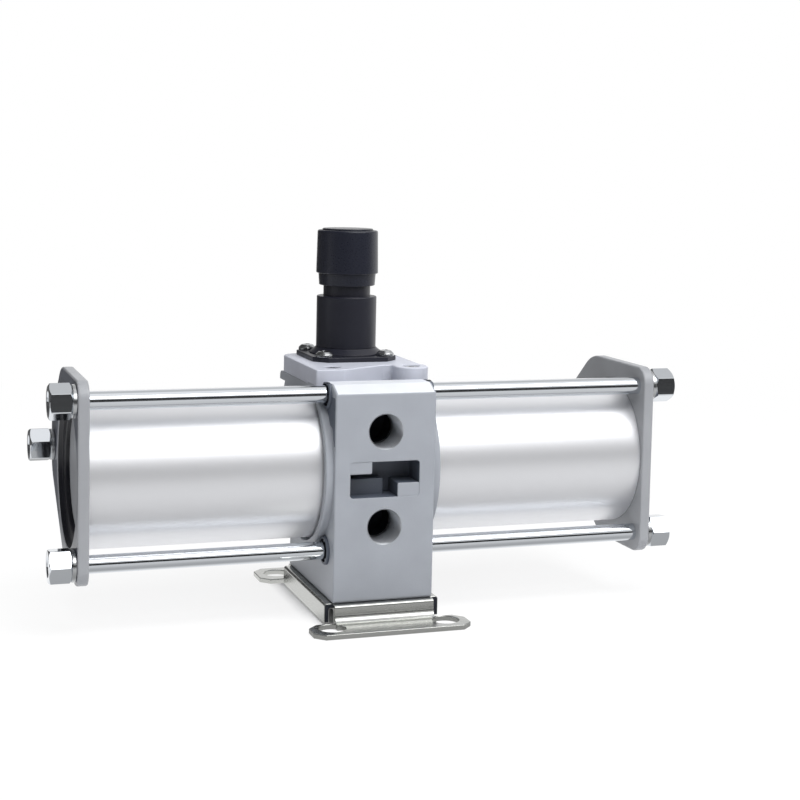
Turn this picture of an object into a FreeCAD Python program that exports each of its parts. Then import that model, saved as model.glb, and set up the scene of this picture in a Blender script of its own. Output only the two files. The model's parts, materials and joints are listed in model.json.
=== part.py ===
"""Air pressure booster: two air cylinders in line, a cast centre body and a governor on top.

All lengths in millimetres. +X runs along the cylinders, the ports face -Y and +Z is up.
The origin lies on the floor, midway between the four mounting holes.
"""
import FreeCAD, Part
import math
import os

V = FreeCAD.Vector
X_AXIS, Y_AXIS, Z_AXIS = V(1, 0, 0), V(0, 1, 0), V(0, 0, 1)

# Cylinders
TUBE_BORE = 63.0
TUBE_WALL = 3.5
CYL_Y = 2.5
CYL_Z = 67.0
TUBE_SEAT_DEPTH = 3.5
GASKET_T = 1.0

# Centre body
BODY_WIDTH = 47.0
BODY_FRONT = -39.0
BODY_BACK = 35.0
BODY_REAR_BOSS = 57.5
BODY_BOTTOM = 10.0
BODY_HEIGHT = 97.4
BODY_TOP_R = 4.0
BODY_STEP = 3.4
BODY_EDGE = 1.5
BODY_REAR_R = 8.0
BODY_REAR_SLOPE = 0.8
COLLAR_R = 40.0
COLLAR_PROUD = 3.5
ROD_BOSS_R = 6.5
ROD_BOSS_PROUD = 1.5

# Threaded ports, 3/8 size, on a 43 mm pitch
PORT_PITCH = 43.0
PORT_BELOW_AXIS = 1.8
PORT_R = 7.5
PORT_THREAD = 12.0
PORT_CHAMFER = 0.8
PASSAGE_R = 5.5
PASSAGE_DEPTH = 15.0
PASSAGE_PAST = 2.0
DRILL_R = 3.0
FEED_ROOF = 8.0
EXHAUST_Z = 24.0
GAUGE_R = 4.3
GAUGE_DEPTH = 9.0
GAUGE_SUNK = 0.5
GAUGE_SOCKET_AF = 5.0
GAUGE_SOCKET_DEPTH = 4.0

# Pocket between the ports
POCKET_HALF = 16.0
POCKET_BELOW = 7.8
POCKET_ABOVE = 7.2
POCKET_DEPTH = 14.0
POCKET_CORNER = 1.5
PAD_LENGTH = 9.8
UPPER_PAD_H = 4.8
LOWER_PAD_H = 5.8
SHELF_H = 8.0
SHELF_FRONT = 6.5

# Tie rods, nuts and washers
ROD_R = 4.0
ROD_FRONT_IN = 12.3
ROD_FRONT_DZ = 35.4
ROD_REAR_IN = 8.9
ROD_REAR_DZ = 4.0
ROD_THREAD_L = 18.0
WASHER_R = 7.3
WASHER_T = 2.0
NUT_AF = 14.0
NUT_H = 9.6
NUT_CHAMFER = 1.0
ROD_RECESS = 0.4
ROD_CHAMFER = 0.8
WASHER_SPLIT = 1.2
ROD_HOLE_GAP = 0.3

# End covers
COVER_T = 5.0
COVER_FRONT = -34.5
COVER_BACK = 57.5
COVER_HALF_H = 44.5
COVER_TOP_SLOPE_Y = 24.0
COVER_LOW_SLOPE_Y = 9.0
COVER_REAR_HIGH = 17.0
COVER_REAR_LOW = -8.5
COVER_CORNER = 8.0
COVER_REAR_CORNER = 10.0
SPIGOT_L = 8.0
SPIGOT_GAP = 0.05
SPIGOT_EDGE = 0.8
DISH_R = 34.0
DISH_RIM = 2.4
DISH_SLOPE = 1.5
CORE_R = 27.5
CORE_WALL = 4.2
CORE_LIP = 1.5
CORE_EDGE = 1.0
RING_W = 3.0
RING_DEPTH = 2.0
RING_INSET = 2.5

# Piston rod and pistons
STROKE_HALF = 38.0
PISTON_ROD_R = 8.0
ROD_END_R = 6.0
PISTON_T = 18.0
PISTON_GAP = 0.5
SEAL_GAP = 0.05
PISTON_CLEAR = 4.0
SEAL_W = 4.0
SEAL_DEPTH = 3.5
WEAR_W = 5.0
WEAR_DEPTH = 2.0
WEAR_INSET = 1.5
NUT_POCKET_R = 14.0
NUT_POCKET_DEPTH = 9.0
PISTON_NUT_AF = 19.0
PISTON_NUT_H = 8.0
BUSH_OUT_R = 11.0
BUSH_L = 11.0
ROD_SEAL_L = 4.0
RUN_GAP = 0.05

# Switching valve
VALVE_Y = 24.5
SLEEVE_R = 8.0
SPOOL_R = 5.0
SPOOL_HALF = 15.0
SPOOL_TRAVEL = 3.0
SPOOL_GROOVE_R = 3.4
SPOOL_GROOVE_W = 5.0
SPOOL_RING_W = 1.6
SPOOL_RING_DEPTH = 1.2
PUSH_R = 2.0
PUSH_PROUD = 6.0
RETAINER_T = 1.8
SLEEVE_SLOT = 2.4
SLEEVE_SLOT_L = 4.0
SLEEVE_SLOT_PITCH = 6.0

# Check valves
CHECK_Y = -10.0
CHECK_DZ = 21.0
CHECK_R = 5.0
CHECK_DEPTH = 7.0
CHECK_CAGE_T = 3.0
CHECK_DISC_R = 4.5
CHECK_DISC_T = 1.5
CHECK_STEM_R = 1.5
CHECK_LIFT = 1.5
CHECK_REST_GAP = 0.2
CHECK_FLOW_R = 1.0
CHECK_STEM_TAIL = 0.5

# Governor block on top
BLOCK_HALF_X = 27.3
BLOCK_FRONT = -6.0
BLOCK_BACK = 46.0
BLOCK_EAR_T = 5.0
BLOCK_GASKET_T = 0.5
BLOCK_CORNER = 2.0
EAR_REACH = 13.5
EAR_R = 8.7
EAR_TIP_W = 3.5
EAR_ROOT_W = 17.0
EAR_SCREW_X = 17.5
EAR_SCREW_Y = -10.5
BLOCK_SCREW_R = 2.1
BLOCK_HEAD_R = 3.6
BLOCK_HEAD_H = 4.0
BLOCK_HEAD_SUNK = 0.5
BLOCK_SCREW_L = 13.0
SOCKET_AF = 3.0
SCREW_GAP = 0.2
HEAD_GAP = 0.4

# Governor valve and diaphragm
KNOB_Y = 24.5
DIAPHRAGM_R = 18.0
DIAPHRAGM_T = 1.0
PLATE_R = 11.0
PLATE_T = 1.6
PILOT_R = 8.0
PILOT_DEPTH = 16.0
SEAT_T = 3.0
SEAT_HOLE_R = 3.4
STEM_R = 2.5
VALVE_DISC_R = 6.0
VALVE_DISC_T = 2.5
VALVE_TRAVEL = 1.5
PLATE_ROOM = 2.0
PLATE_UNDER = 0.5
VALVE_SPRING_TURNS = 4
VALVE_SPRING_R = 4.6
VALVE_SPRING_WIRE = 0.8

# Bonnet, its flange and screws
FLANGE_HALF = 20.5
FLANGE_T = 3.2
FLANGE_CHAMFER = 6.0
FLANGE_CONE_R = 17.5
FLANGE_CONE_H = 2.1
FLANGE_SCREW = 15.0
PAN_R = 3.8
PAN_H = 2.2
PAN_SHANK_R = 1.9
PAN_SHANK_L = 20.0
PAN_DOME = 1.6
CROSS_HALF = 2.0
CROSS_WIDTH = 0.8
CROSS_DEPTH = 1.1
BONNET_R = 14.8
BONNET_H = 24.0
BONNET_WALL = 3.2
BONNET_ROOF = 3.0
NECK_R = 11.4
NECK_WALL = 1.6
NECK_TOP_H = 16.5
NECK_ROOF = 3.0
BONNET_EDGE = 0.5

# Adjusting screw, spring seat and spring
SCREW_R = 5.0
SCREW_PAST = 3.5
SCREW_COLLAR_R = 8.0
SCREW_COLLAR_T = 2.6
SCREW_COLLAR_GAP = 0.3
SCREW_HEAD_AF = 12.0
SCREW_HEAD_H = 7.5
HEX_GAP = 0.1
SEAT_NUT_R = 10.8
SEAT_NUT_T = 5.0
SEAT_NUT_BOSS = 2.0
SPRING_R = 8.2
SPRING_WIRE = 2.2
SPRING_LENGTH = 15.5
SPRING_TURNS = 4
SPRING_STEPS = 16
SPRING_SIDES = 6
SPRING_GAP = 0.4

# Knob, drawn up in its free position
KNOB_LIFT = 4.0
KNOB_GAP = 5.6
KNOB_SKIRT_R = 13.6
KNOB_SKIRT_H = 4.2
KNOB_SKIRT_TAPER = 0.3
KNOB_ROOM = 0.6
KNOB_R = 15.2
KNOB_TOP_R = 15.0
KNOB_H = 22.0
KNOB_BORE_R = 11.9
KNOB_EDGE = 0.7
KNOB_FLUTES = 24
KNOB_FLUTE_R = 1.2
KNOB_FLUTE_DEPTH = 0.25
KNOB_FLUTE_END = 3.2
CAP_R = 12.8
CAP_T = 1.6
CAP_PROUD = 0.8
CAP_EDGE = 0.5

# Mounting bracket
SHEET_T = 2.3
BRACKET_HALF_X = 26.9
BRACKET_WALL_HALF = 23.3
BRACKET_LIP_LOW = 1.3
BEND_R = 3.0
FOOT_HALF_X = 36.5
FOOT_HALF_Y = 59.0
HOLE_PITCH_X = 53.0
HOLE_PITCH_Y = 98.0
HOLE_R = 6.0
FOOT_CHAMFER = 4.5
RELIEF = 2.0
FOOT_INSET = 0.2
WALL_GAP = 0.7
BASE_SCREW_X = 14.0
BASE_SCREW_FRONT = -27.0
BASE_SCREW_BACK = 25.0
BASE_SCREW_R = 2.5
BASE_SCREW_L = 12.0
BASE_HEAD_R = 4.6
BASE_HEAD_H = 3.0

# Sizes worked out from the ones above
TUBE_IN = TUBE_BORE / 2
TUBE_OUT = TUBE_IN + TUBE_WALL
HALF = BODY_WIDTH / 2
TUBE_SEAT_X = HALF - TUBE_SEAT_DEPTH
COVER_X = TUBE_SEAT_X + 2 * (STROKE_HALF + PISTON_CLEAR) + PISTON_T + SPIGOT_L
COLLAR_X = HALF + COLLAR_PROUD
BODY_TOP = BODY_BOTTOM + BODY_HEIGHT
BODY_REAR_TOP = BODY_TOP - BODY_STEP
BLOCK_TOP = BODY_TOP + BLOCK_EAR_T
PILOT_BOTTOM = BODY_REAR_TOP - PILOT_DEPTH
SEAT_NUT_TOP = BLOCK_TOP + PLATE_T + SPRING_LENGTH + SEAT_NUT_T
SCREW_LOW = SEAT_NUT_TOP - SEAT_NUT_T - SEAT_NUT_BOSS - SCREW_PAST
CHECK_SEAT_X = TUBE_SEAT_X - CHECK_DEPTH
PASSAGE_HALF = CHECK_SEAT_X + PASSAGE_PAST
PASSAGE_Y = BODY_FRONT + PASSAGE_DEPTH
PUSH_END = TUBE_SEAT_X + PUSH_PROUD
PORT_MID_Z = CYL_Z - PORT_BELOW_AXIS
POCKET_LOW = PORT_MID_Z - POCKET_BELOW
POCKET_HIGH = PORT_MID_Z + POCKET_ABOVE
ROD_FRONT_Y = BODY_FRONT + ROD_FRONT_IN
ROD_REAR_Y = BODY_REAR_BOSS - ROD_REAR_IN
ROD_INNER_X = COLLAR_X - ROD_THREAD_L
COVER_OUT = COVER_X + COVER_T
NUT_X = COVER_OUT + WASHER_T
TUBE_START = TUBE_SEAT_X + GASKET_T
PISTON_IN = TUBE_SEAT_X + PISTON_CLEAR + STROKE_HALF
PORTS_Z = (PORT_MID_Z + PORT_PITCH / 2, PORT_MID_Z - PORT_PITCH / 2)
BLOCK_LOW = BODY_REAR_TOP + BLOCK_GASKET_T
FLANGE_TOP = BLOCK_TOP + FLANGE_T
BONNET_LOW = FLANGE_TOP + FLANGE_CONE_H
BONNET_TOP = BONNET_LOW + BONNET_H
NECK_TOP = BONNET_TOP + NECK_TOP_H
KNOB_LOW = BONNET_TOP + KNOB_GAP
KNOB_TOP = KNOB_LOW + KNOB_SKIRT_H + KNOB_H
SPRING_CENTRE_R = SPRING_R - SPRING_WIRE / 2 - SPRING_GAP
ROD_SPOTS = (
    (ROD_FRONT_Y, CYL_Z + ROD_FRONT_DZ),
    (ROD_FRONT_Y, CYL_Z - ROD_FRONT_DZ),
    (ROD_REAR_Y, CYL_Z + ROD_REAR_DZ),
)
NUT_TURNS = (0.0, 25.0, 12.0)
SIDES = (("left", -1), ("right", 1))


def box(x0, x1, y0, y1, z0, z1):
    """Box between two corners."""
    return Part.makeBox(x1 - x0, y1 - y0, z1 - z0, V(x0, y0, z0))


def rod(axis, r, start, end, a, b):
    """Cylinder along an axis letter, at the two other coordinates a and b."""
    place = {"x": V(start, a, b), "y": V(a, start, b), "z": V(a, b, start)}[axis]
    line = {"x": X_AXIS, "y": Y_AXIS, "z": Z_AXIS}[axis]
    return Part.makeCylinder(r, end - start, place, line)


def ring(axis, r_in, r_out, start, end, a, b):
    """Ring along an axis letter."""
    return rod(axis, r_out, start, end, a, b).cut(rod(axis, r_in, start - 1, end + 1, a, b))


def cone(axis, r0, r1, start, end, a, b):
    """Cone along an axis letter, from radius r0 at start to r1 at end."""
    place = {"x": V(start, a, b), "y": V(a, start, b), "z": V(a, b, start)}[axis]
    line = {"x": X_AXIS, "y": Y_AXIS, "z": Z_AXIS}[axis]
    if end < start:
        line = line * -1
    return Part.makeCone(r0, r1, abs(end - start), place, line)


def flat_face(points):
    """Flat face inside a closed row of points."""
    return Part.Face(Part.makePolygon(list(points) + [points[0]]))


def revolve_z(profile, x=0.0, y=0.0):
    """Solid of revolution about a vertical axis from (radius, height) points."""
    points = [V(r, 0, z) for r, z in profile]
    face = Part.Face(Part.makePolygon(points + [points[0]]))
    solid = face.revolve(V(0, 0, 0), Z_AXIS, 360)
    solid.translate(V(x, y, 0))
    return solid


def revolve_x(profile, y=CYL_Y, z=CYL_Z):
    """Solid of revolution about a line along X from (x, radius) points."""
    points = [V(x, 0, r) for x, r in profile]
    face = Part.Face(Part.makePolygon(points + [points[0]]))
    solid = face.revolve(V(0, 0, 0), X_AXIS, 360)
    solid.translate(V(0, y, z))
    return solid


def rounded_face(points, lift):
    """Flat face from (a, b, corner radius) points, lifted into space by the function lift."""
    edges = []
    count = len(points)
    starts = []
    for i in range(count):
        corner = V(points[i][0], points[i][1], 0)
        before = V(points[i - 1][0], points[i - 1][1], 0) - corner
        after = V(points[(i + 1) % count][0], points[(i + 1) % count][1], 0) - corner
        before.normalize()
        after.normalize()
        r = points[i][2]
        if r <= 0:
            starts.append((corner, None, corner))
            continue
        half = before.getAngle(after) / 2
        reach = r / math.tan(half)
        bisector = before + after
        bisector.normalize()
        centre = corner + bisector * (r / math.sin(half))
        starts.append((corner + before * reach, centre - bisector * r, corner + after * reach))
    for i in range(count):
        first, middle, last = (p and lift(p.x, p.y) for p in starts[i])
        if middle is not None:
            edges.append(Part.Arc(first, middle, last).toShape())
        follow = lift(starts[(i + 1) % count][0].x, starts[(i + 1) % count][0].y)
        edges.append(Part.makeLine(last, follow))
    return Part.Face(Part.Wire(edges))


def slab_x(points, x0, x1):
    """Outline in Y and Z, extruded along X."""
    return rounded_face(points, lambda a, b: V(x0, a, b)).extrude(V(x1 - x0, 0, 0))


def slab_y(points, y0, y1):
    """Outline in X and Z, extruded along Y."""
    return rounded_face(points, lambda a, b: V(a, y0, b)).extrude(V(0, y1 - y0, 0))


def slab_z(points, z0, z1):
    """Outline in X and Y, extruded along Z."""
    return rounded_face(points, lambda a, b: V(a, b, z0)).extrude(V(0, 0, z1 - z0))


def rectangle(a0, a1, b0, b1, r=0.0):
    """Four corners of a rectangle with one corner radius."""
    return [(a0, b0, r), (a1, b0, r), (a1, b1, r), (a0, b1, r)]


def hexagon(axis, flats, start, end, a, b, turn=0.0):
    """Hexagonal prism of a width across flats, turned by an angle in degrees."""
    reach = flats / math.sqrt(3)
    spots = []
    for i in range(6):
        angle = math.radians(60 * i + turn)
        p, q = a + reach * math.cos(angle), b + reach * math.sin(angle)
        spots.append(V(start, p, q) if axis == "x" else V(p, q, start))
    line = X_AXIS if axis == "x" else Z_AXIS
    return Part.Face(Part.makePolygon(spots + [spots[0]])).extrude(line * (end - start))


def mirror_x(shape):
    """Mirror image through the plane X = 0."""
    return shape.mirror(V(0, 0, 0), X_AXIS)


def on_side(shape, side):
    """Shape made for the right side, put on the side asked for."""
    return shape if side > 0 else mirror_x(shape)


def group(shapes):
    """Separate solids kept together in one node."""
    return Part.makeCompound([s for shape in shapes for s in shape.Solids])


def body_outline():
    """Side view of the centre body, in Y and Z."""
    rear_low = CYL_Z + COVER_REAR_LOW
    rear_high = CYL_Z + COVER_REAR_HIGH
    return [
        (BODY_FRONT, BODY_BOTTOM, BODY_EDGE),
        (BODY_FRONT, BODY_TOP, BODY_TOP_R),
        (BLOCK_FRONT, BODY_TOP, 0),
        (BLOCK_FRONT, BODY_REAR_TOP, 0),
        (BLOCK_BACK, BODY_REAR_TOP, 2 * BODY_EDGE),
        (BODY_REAR_BOSS, rear_high, BODY_REAR_R),
        (BODY_REAR_BOSS, rear_low, BODY_REAR_R),
        (BODY_BACK, rear_low - (BODY_REAR_BOSS - BODY_BACK) * BODY_REAR_SLOPE, BODY_REAR_R),
        (BODY_BACK, BODY_BOTTOM, BODY_EDGE),
    ]


def port_hole(z):
    """Threaded port in the front face, with its chamfer and the passage behind it."""
    end = BODY_FRONT + PORT_THREAD
    hole = rod("y", PORT_R, BODY_FRONT - 1, end, 0, z)
    hole = hole.fuse(cone("y", PORT_R, PASSAGE_R, end, PASSAGE_Y, 0, z))
    mouth = cone("y", PORT_R + PORT_CHAMFER, PORT_R, BODY_FRONT, BODY_FRONT + PORT_CHAMFER, 0, z)
    passage = rod("x", PASSAGE_R, -PASSAGE_HALF, PASSAGE_HALF, PASSAGE_Y, z)
    return hole.fuse([mouth, passage])


def pocket():
    """Cored pocket between the ports, with its two flush pads and the shelf inside."""
    back = BODY_FRONT + POCKET_DEPTH
    room = slab_y(
        rectangle(-POCKET_HALF, POCKET_HALF, POCKET_LOW, POCKET_HIGH, POCKET_CORNER),
        BODY_FRONT - 1,
        back,
    )
    upper = box(
        -POCKET_HALF - 1, -POCKET_HALF + PAD_LENGTH, BODY_FRONT - 2, back + 1,
        POCKET_HIGH - UPPER_PAD_H, POCKET_HIGH + 1,
    )
    lower = box(
        POCKET_HALF - PAD_LENGTH, POCKET_HALF + 1, BODY_FRONT - 2, back + 1,
        POCKET_LOW - 1, POCKET_LOW + LOWER_PAD_H,
    )
    shelf = box(
        -POCKET_HALF - 1, 0, BODY_FRONT + SHELF_FRONT, back + 1, POCKET_LOW - 1, POCKET_LOW + SHELF_H
    )
    return room.cut(upper.fuse([lower, shelf]))


def check_spots():
    """Y and Z of the inlet and the outlet check valves."""
    return ((CHECK_Y, CYL_Z + CHECK_DZ), (CHECK_Y, CYL_Z - CHECK_DZ))


def center_body():
    """Cast body with collars, ports, pocket, bores and screw holes."""
    body = slab_x(body_outline(), -HALF, HALF)
    envelope = slab_x(body_outline(), -COLLAR_X, COLLAR_X)
    proud = [rod("x", COLLAR_R, -COLLAR_X, COLLAR_X, CYL_Y, CYL_Z)]
    boss_x = HALF + ROD_BOSS_PROUD
    for y, z in ROD_SPOTS:
        proud.append(rod("x", ROD_BOSS_R, -boss_x, boss_x, y, z))
    body = body.fuse([envelope.common(p) for p in proud])
    cuts = [port_hole(z) for z in PORTS_Z]
    cuts.append(pocket())
    cuts.append(rod("x", BUSH_OUT_R, -TUBE_SEAT_X - 1, TUBE_SEAT_X + 1, CYL_Y, CYL_Z))
    cuts.append(rod("x", SLEEVE_R, -TUBE_SEAT_X - 1, TUBE_SEAT_X + 1, VALVE_Y, CYL_Z))
    cuts.append(rod("z", PILOT_R, PILOT_BOTTOM, BODY_REAR_TOP + 1, 0, KNOB_Y))
    feed_z = PORTS_Z[0]
    cuts.append(rod("z", DRILL_R, feed_z, BODY_TOP - FEED_ROOF, 0, PASSAGE_Y))
    cuts.append(rod("y", DRILL_R, PASSAGE_Y, KNOB_Y, 0, BODY_TOP - FEED_ROOF - DRILL_R))
    for side in (-1, 1):
        cuts.append(on_side(rod("x", TUBE_OUT, TUBE_SEAT_X, COLLAR_X + 1, CYL_Y, CYL_Z), side))
        for y, z in ROD_SPOTS:
            cuts.append(on_side(rod("x", ROD_R, ROD_INNER_X - 1, COLLAR_X + 1, y, z), side))
        for (y, z), port_z in zip(check_spots(), PORTS_Z):
            cuts.append(on_side(rod("x", CHECK_R, CHECK_SEAT_X, TUBE_SEAT_X + 1, y, z), side))
            drill_x = CHECK_SEAT_X - DRILL_R
            cuts.append(on_side(rod("x", DRILL_R, drill_x, CHECK_SEAT_X + 1, y, z), side))
            cuts.append(rod("y", DRILL_R, PASSAGE_Y, CHECK_Y, side * drill_x, z))
    for x, y in block_screw_spots():
        cuts.append(rod("z", BLOCK_SCREW_R, block_screw_seat() - BLOCK_SCREW_L, BODY_TOP + 1, x, y))
    for x, y in flange_screw_spots():
        cuts.append(rod("z", PAN_SHANK_R, FLANGE_TOP - PAN_SHANK_L, BODY_TOP + 1, x, y))
    for x, y in base_screw_spots():
        cuts.append(rod("z", BASE_SCREW_R, BODY_BOTTOM - 1, base_screw_top(), x, y))
    cuts.append(rod("y", PORT_R, BODY_BACK - PORT_THREAD, BODY_BACK + 1, 0, EXHAUST_Z))
    cuts.append(cone("y", PORT_R + PORT_CHAMFER, PORT_R, BODY_BACK, BODY_BACK - PORT_CHAMFER, 0, EXHAUST_Z))
    cuts.append(rod("y", GAUGE_R, BODY_REAR_BOSS - GAUGE_DEPTH, BODY_REAR_BOSS + 1, 0, gauge_z()))
    return body.cut(cuts)


def gauge_z():
    """Height of the gauge port on the rear boss."""
    return CYL_Z + ROD_REAR_DZ


def gauge_port_plug():
    """Hexagon socket plug in the gauge port, just under the surface."""
    start = BODY_REAR_BOSS - GAUGE_DEPTH + 1
    plug = rod("y", GAUGE_R, start, BODY_REAR_BOSS - GAUGE_SUNK, 0, gauge_z())
    socket = hexagon("z", GAUGE_SOCKET_AF, 0, GAUGE_SOCKET_DEPTH, 0, 0)
    socket.rotate(V(0, 0, 0), X_AXIS, -90)
    socket.translate(V(0, BODY_REAR_BOSS - GAUGE_SOCKET_DEPTH, gauge_z()))
    return plug.cut(socket)


def cylinder_tube(side):
    """Polished tube between the body and the cover."""
    return on_side(ring("x", TUBE_IN, TUBE_OUT, TUBE_START, COVER_X, CYL_Y, CYL_Z), side)


def tube_gaskets():
    """Flat gaskets between the tube ends and the body."""
    one = ring("x", TUBE_IN, TUBE_OUT, TUBE_SEAT_X, TUBE_START, CYL_Y, CYL_Z)
    return group([one, mirror_x(one)])


def cover_outline():
    """D-shaped outline of an end cover, in Y and Z."""
    low, high = CYL_Z - COVER_HALF_H, CYL_Z + COVER_HALF_H
    return [
        (COVER_FRONT, low, COVER_CORNER),
        (COVER_FRONT, high, COVER_CORNER),
        (COVER_TOP_SLOPE_Y, high, COVER_REAR_CORNER),
        (COVER_BACK, CYL_Z + COVER_REAR_HIGH, COVER_REAR_CORNER),
        (COVER_BACK, CYL_Z + COVER_REAR_LOW, COVER_REAR_CORNER),
        (COVER_LOW_SLOPE_Y, low, COVER_REAR_CORNER),
    ]


def end_cover(side):
    """Cover plate with a spigot in the tube and a dished recess outside."""
    plate = slab_x(cover_outline(), COVER_X, COVER_OUT)
    spigot_r = TUBE_IN - SPIGOT_GAP
    inner = COVER_X - SPIGOT_L
    groove = inner + RING_INSET
    spigot = revolve_x([(inner, 0), (inner, spigot_r - SPIGOT_EDGE), (inner + SPIGOT_EDGE, spigot_r),
                        (COVER_X + 1, spigot_r), (COVER_X + 1, 0)])
    spigot = spigot.cut(ring("x", spigot_r - RING_DEPTH, spigot_r + 1, groove, groove + RING_W, CYL_Y, CYL_Z))
    rim_x = COVER_OUT - DISH_RIM
    floor_x = inner + CORE_WALL
    dish = revolve_x([
        (COVER_OUT + 1, 0), (COVER_OUT + 1, DISH_R), (COVER_OUT, DISH_R), (rim_x, DISH_R - DISH_SLOPE),
        (rim_x - CORE_EDGE, CORE_R + CORE_LIP), (floor_x + CORE_EDGE, CORE_R),
        (floor_x, CORE_R - CORE_LIP), (floor_x, 0),
    ])
    cover = plate.fuse(spigot).cut(dish)
    for y, z in ROD_SPOTS:
        cover = cover.cut(rod("x", ROD_R + ROD_HOLE_GAP, COVER_X - 1, COVER_OUT + 1, y, z))
    return on_side(cover, side)


def cover_ring(side):
    """O-ring on the cover spigot."""
    groove = COVER_X - SPIGOT_L + RING_INSET
    r_in = TUBE_IN - SPIGOT_GAP - RING_DEPTH
    return on_side(ring("x", r_in, TUBE_IN, groove + SCREW_GAP, groove + RING_W - SCREW_GAP, CYL_Y, CYL_Z), side)


def tie_rods(side):
    """Three tie rods screwed into the body."""
    end = NUT_X + NUT_H - ROD_RECESS
    rods = []
    for y, z in ROD_SPOTS:
        one = rod("x", ROD_R, ROD_INNER_X, end - ROD_CHAMFER, y, z)
        rods.append(one.fuse(cone("x", ROD_R, ROD_R - ROD_CHAMFER, end - ROD_CHAMFER, end, y, z)))
    return group([on_side(r, side) for r in rods])


def tie_rod_nuts(side):
    """Hexagon nuts with chamfered corners, each turned as it was tightened."""
    nuts = []
    reach = NUT_AF / math.sqrt(3)
    flat_r = NUT_AF / 2
    for (y, z), turn in zip(ROD_SPOTS, NUT_TURNS):
        prism = hexagon("x", NUT_AF, NUT_X, NUT_X + NUT_H, y, z, 90 + turn)
        envelope = revolve_x([(NUT_X, 0), (NUT_X, flat_r), (NUT_X + NUT_CHAMFER, reach),
                              (NUT_X + NUT_H - NUT_CHAMFER, reach), (NUT_X + NUT_H, flat_r),
                              (NUT_X + NUT_H, 0)], y, z)
        hole = rod("x", ROD_R, NUT_X - 1, NUT_X + NUT_H + 1, y, z)
        nuts.append(prism.common(envelope).cut(hole))
    return group([on_side(n, side) for n in nuts])


def lock_washers(side):
    """Split spring washers under the nuts."""
    washers = []
    for y, z in ROD_SPOTS:
        one = ring("x", ROD_R + ROD_HOLE_GAP, WASHER_R, COVER_OUT, NUT_X, y, z)
        half = WASHER_SPLIT / 2
        split = box(COVER_OUT - 1, NUT_X + 1, y - half, y + half, z, z + WASHER_R + 1)
        washers.append(one.cut(split))
    return group([on_side(w, side) for w in washers])


def piston_rod():
    """Rod with a threaded end for each piston."""
    end = PISTON_IN + PISTON_T
    rod_shape = rod("x", PISTON_ROD_R, -PISTON_IN, PISTON_IN, CYL_Y, CYL_Z)
    return rod_shape.fuse(rod("x", ROD_END_R, -end, end, CYL_Y, CYL_Z))


def seal_grooves():
    """Start of the seal groove and of the two wear ring grooves, from the inner face."""
    middle = PISTON_IN + (PISTON_T - SEAL_W) / 2
    return middle, PISTON_IN + WEAR_INSET, PISTON_IN + PISTON_T - WEAR_INSET - WEAR_W


def piston(side):
    """Piston with grooves and a pocket for its nut."""
    r = TUBE_IN - PISTON_GAP
    seal_x, wear_a, wear_b = seal_grooves()
    outer = PISTON_IN + PISTON_T
    shape = revolve_x([(PISTON_IN, ROD_END_R), (PISTON_IN, r - 1), (PISTON_IN + 1, r),
                       (outer - 1, r), (outer, r - 1), (outer, ROD_END_R)])
    cuts = [ring("x", r - SEAL_DEPTH, r + 1, seal_x, seal_x + SEAL_W, CYL_Y, CYL_Z)]
    for start in (wear_a, wear_b):
        cuts.append(ring("x", r - WEAR_DEPTH, r + 1, start, start + WEAR_W, CYL_Y, CYL_Z))
    cuts.append(rod("x", NUT_POCKET_R, outer - NUT_POCKET_DEPTH, outer + 1, CYL_Y, CYL_Z))
    return on_side(shape.cut(cuts), side)


def piston_seal(side):
    """Rubber seal in the middle groove."""
    r = TUBE_IN - PISTON_GAP - SEAL_DEPTH
    start = seal_grooves()[0]
    return on_side(ring("x", r, TUBE_IN - SEAL_GAP, start, start + SEAL_W, CYL_Y, CYL_Z), side)


def wear_rings(side):
    """Two guide rings of one piston."""
    r = TUBE_IN - PISTON_GAP - WEAR_DEPTH
    rings = []
    for start in seal_grooves()[1:]:
        rings.append(ring("x", r, TUBE_IN - SEAL_GAP, start, start + WEAR_W, CYL_Y, CYL_Z))
    return group([on_side(one, side) for one in rings])


def piston_nut(side):
    """Nut that clamps a piston on the rod."""
    start = PISTON_IN + PISTON_T - NUT_POCKET_DEPTH
    nut = hexagon("x", PISTON_NUT_AF, start, start + PISTON_NUT_H, CYL_Y, CYL_Z)
    return on_side(nut.cut(rod("x", ROD_END_R, start - 1, start + PISTON_NUT_H + 1, CYL_Y, CYL_Z)), side)


def rod_bush(side):
    """Guide bush of the piston rod."""
    start = TUBE_SEAT_X - BUSH_L
    return on_side(ring("x", PISTON_ROD_R + RUN_GAP, BUSH_OUT_R, start, TUBE_SEAT_X, CYL_Y, CYL_Z), side)


def rod_seal(side):
    """Lip seal behind the bush."""
    end = TUBE_SEAT_X - BUSH_L
    return on_side(ring("x", PISTON_ROD_R + RUN_GAP, BUSH_OUT_R, end - ROD_SEAL_L, end, CYL_Y, CYL_Z), side)


def switching_sleeve():
    """Sleeve of the switching valve with its row of slots."""
    length = TUBE_SEAT_X - RETAINER_T
    sleeve = ring("x", SPOOL_R + RUN_GAP, SLEEVE_R, -length, length, VALVE_Y, CYL_Z)
    slots = []
    for i in (-2, -1, 0, 1, 2):
        middle, half = i * SLEEVE_SLOT_PITCH, SLEEVE_SLOT_L / 2
        slots.append(box(middle - SLEEVE_SLOT / 2, middle + SLEEVE_SLOT / 2,
                         VALVE_Y - half, VALVE_Y + half, CYL_Z - SLEEVE_R - 1, CYL_Z + SLEEVE_R + 1))
    return sleeve.cut(slots)


def valve_retainers():
    """End plates that keep the sleeve in the body and stop the spool."""
    start = TUBE_SEAT_X - RETAINER_T
    one = ring("x", PUSH_R + RUN_GAP, SLEEVE_R, start, TUBE_SEAT_X, VALVE_Y, CYL_Z)
    return group([one, mirror_x(one)])


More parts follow.
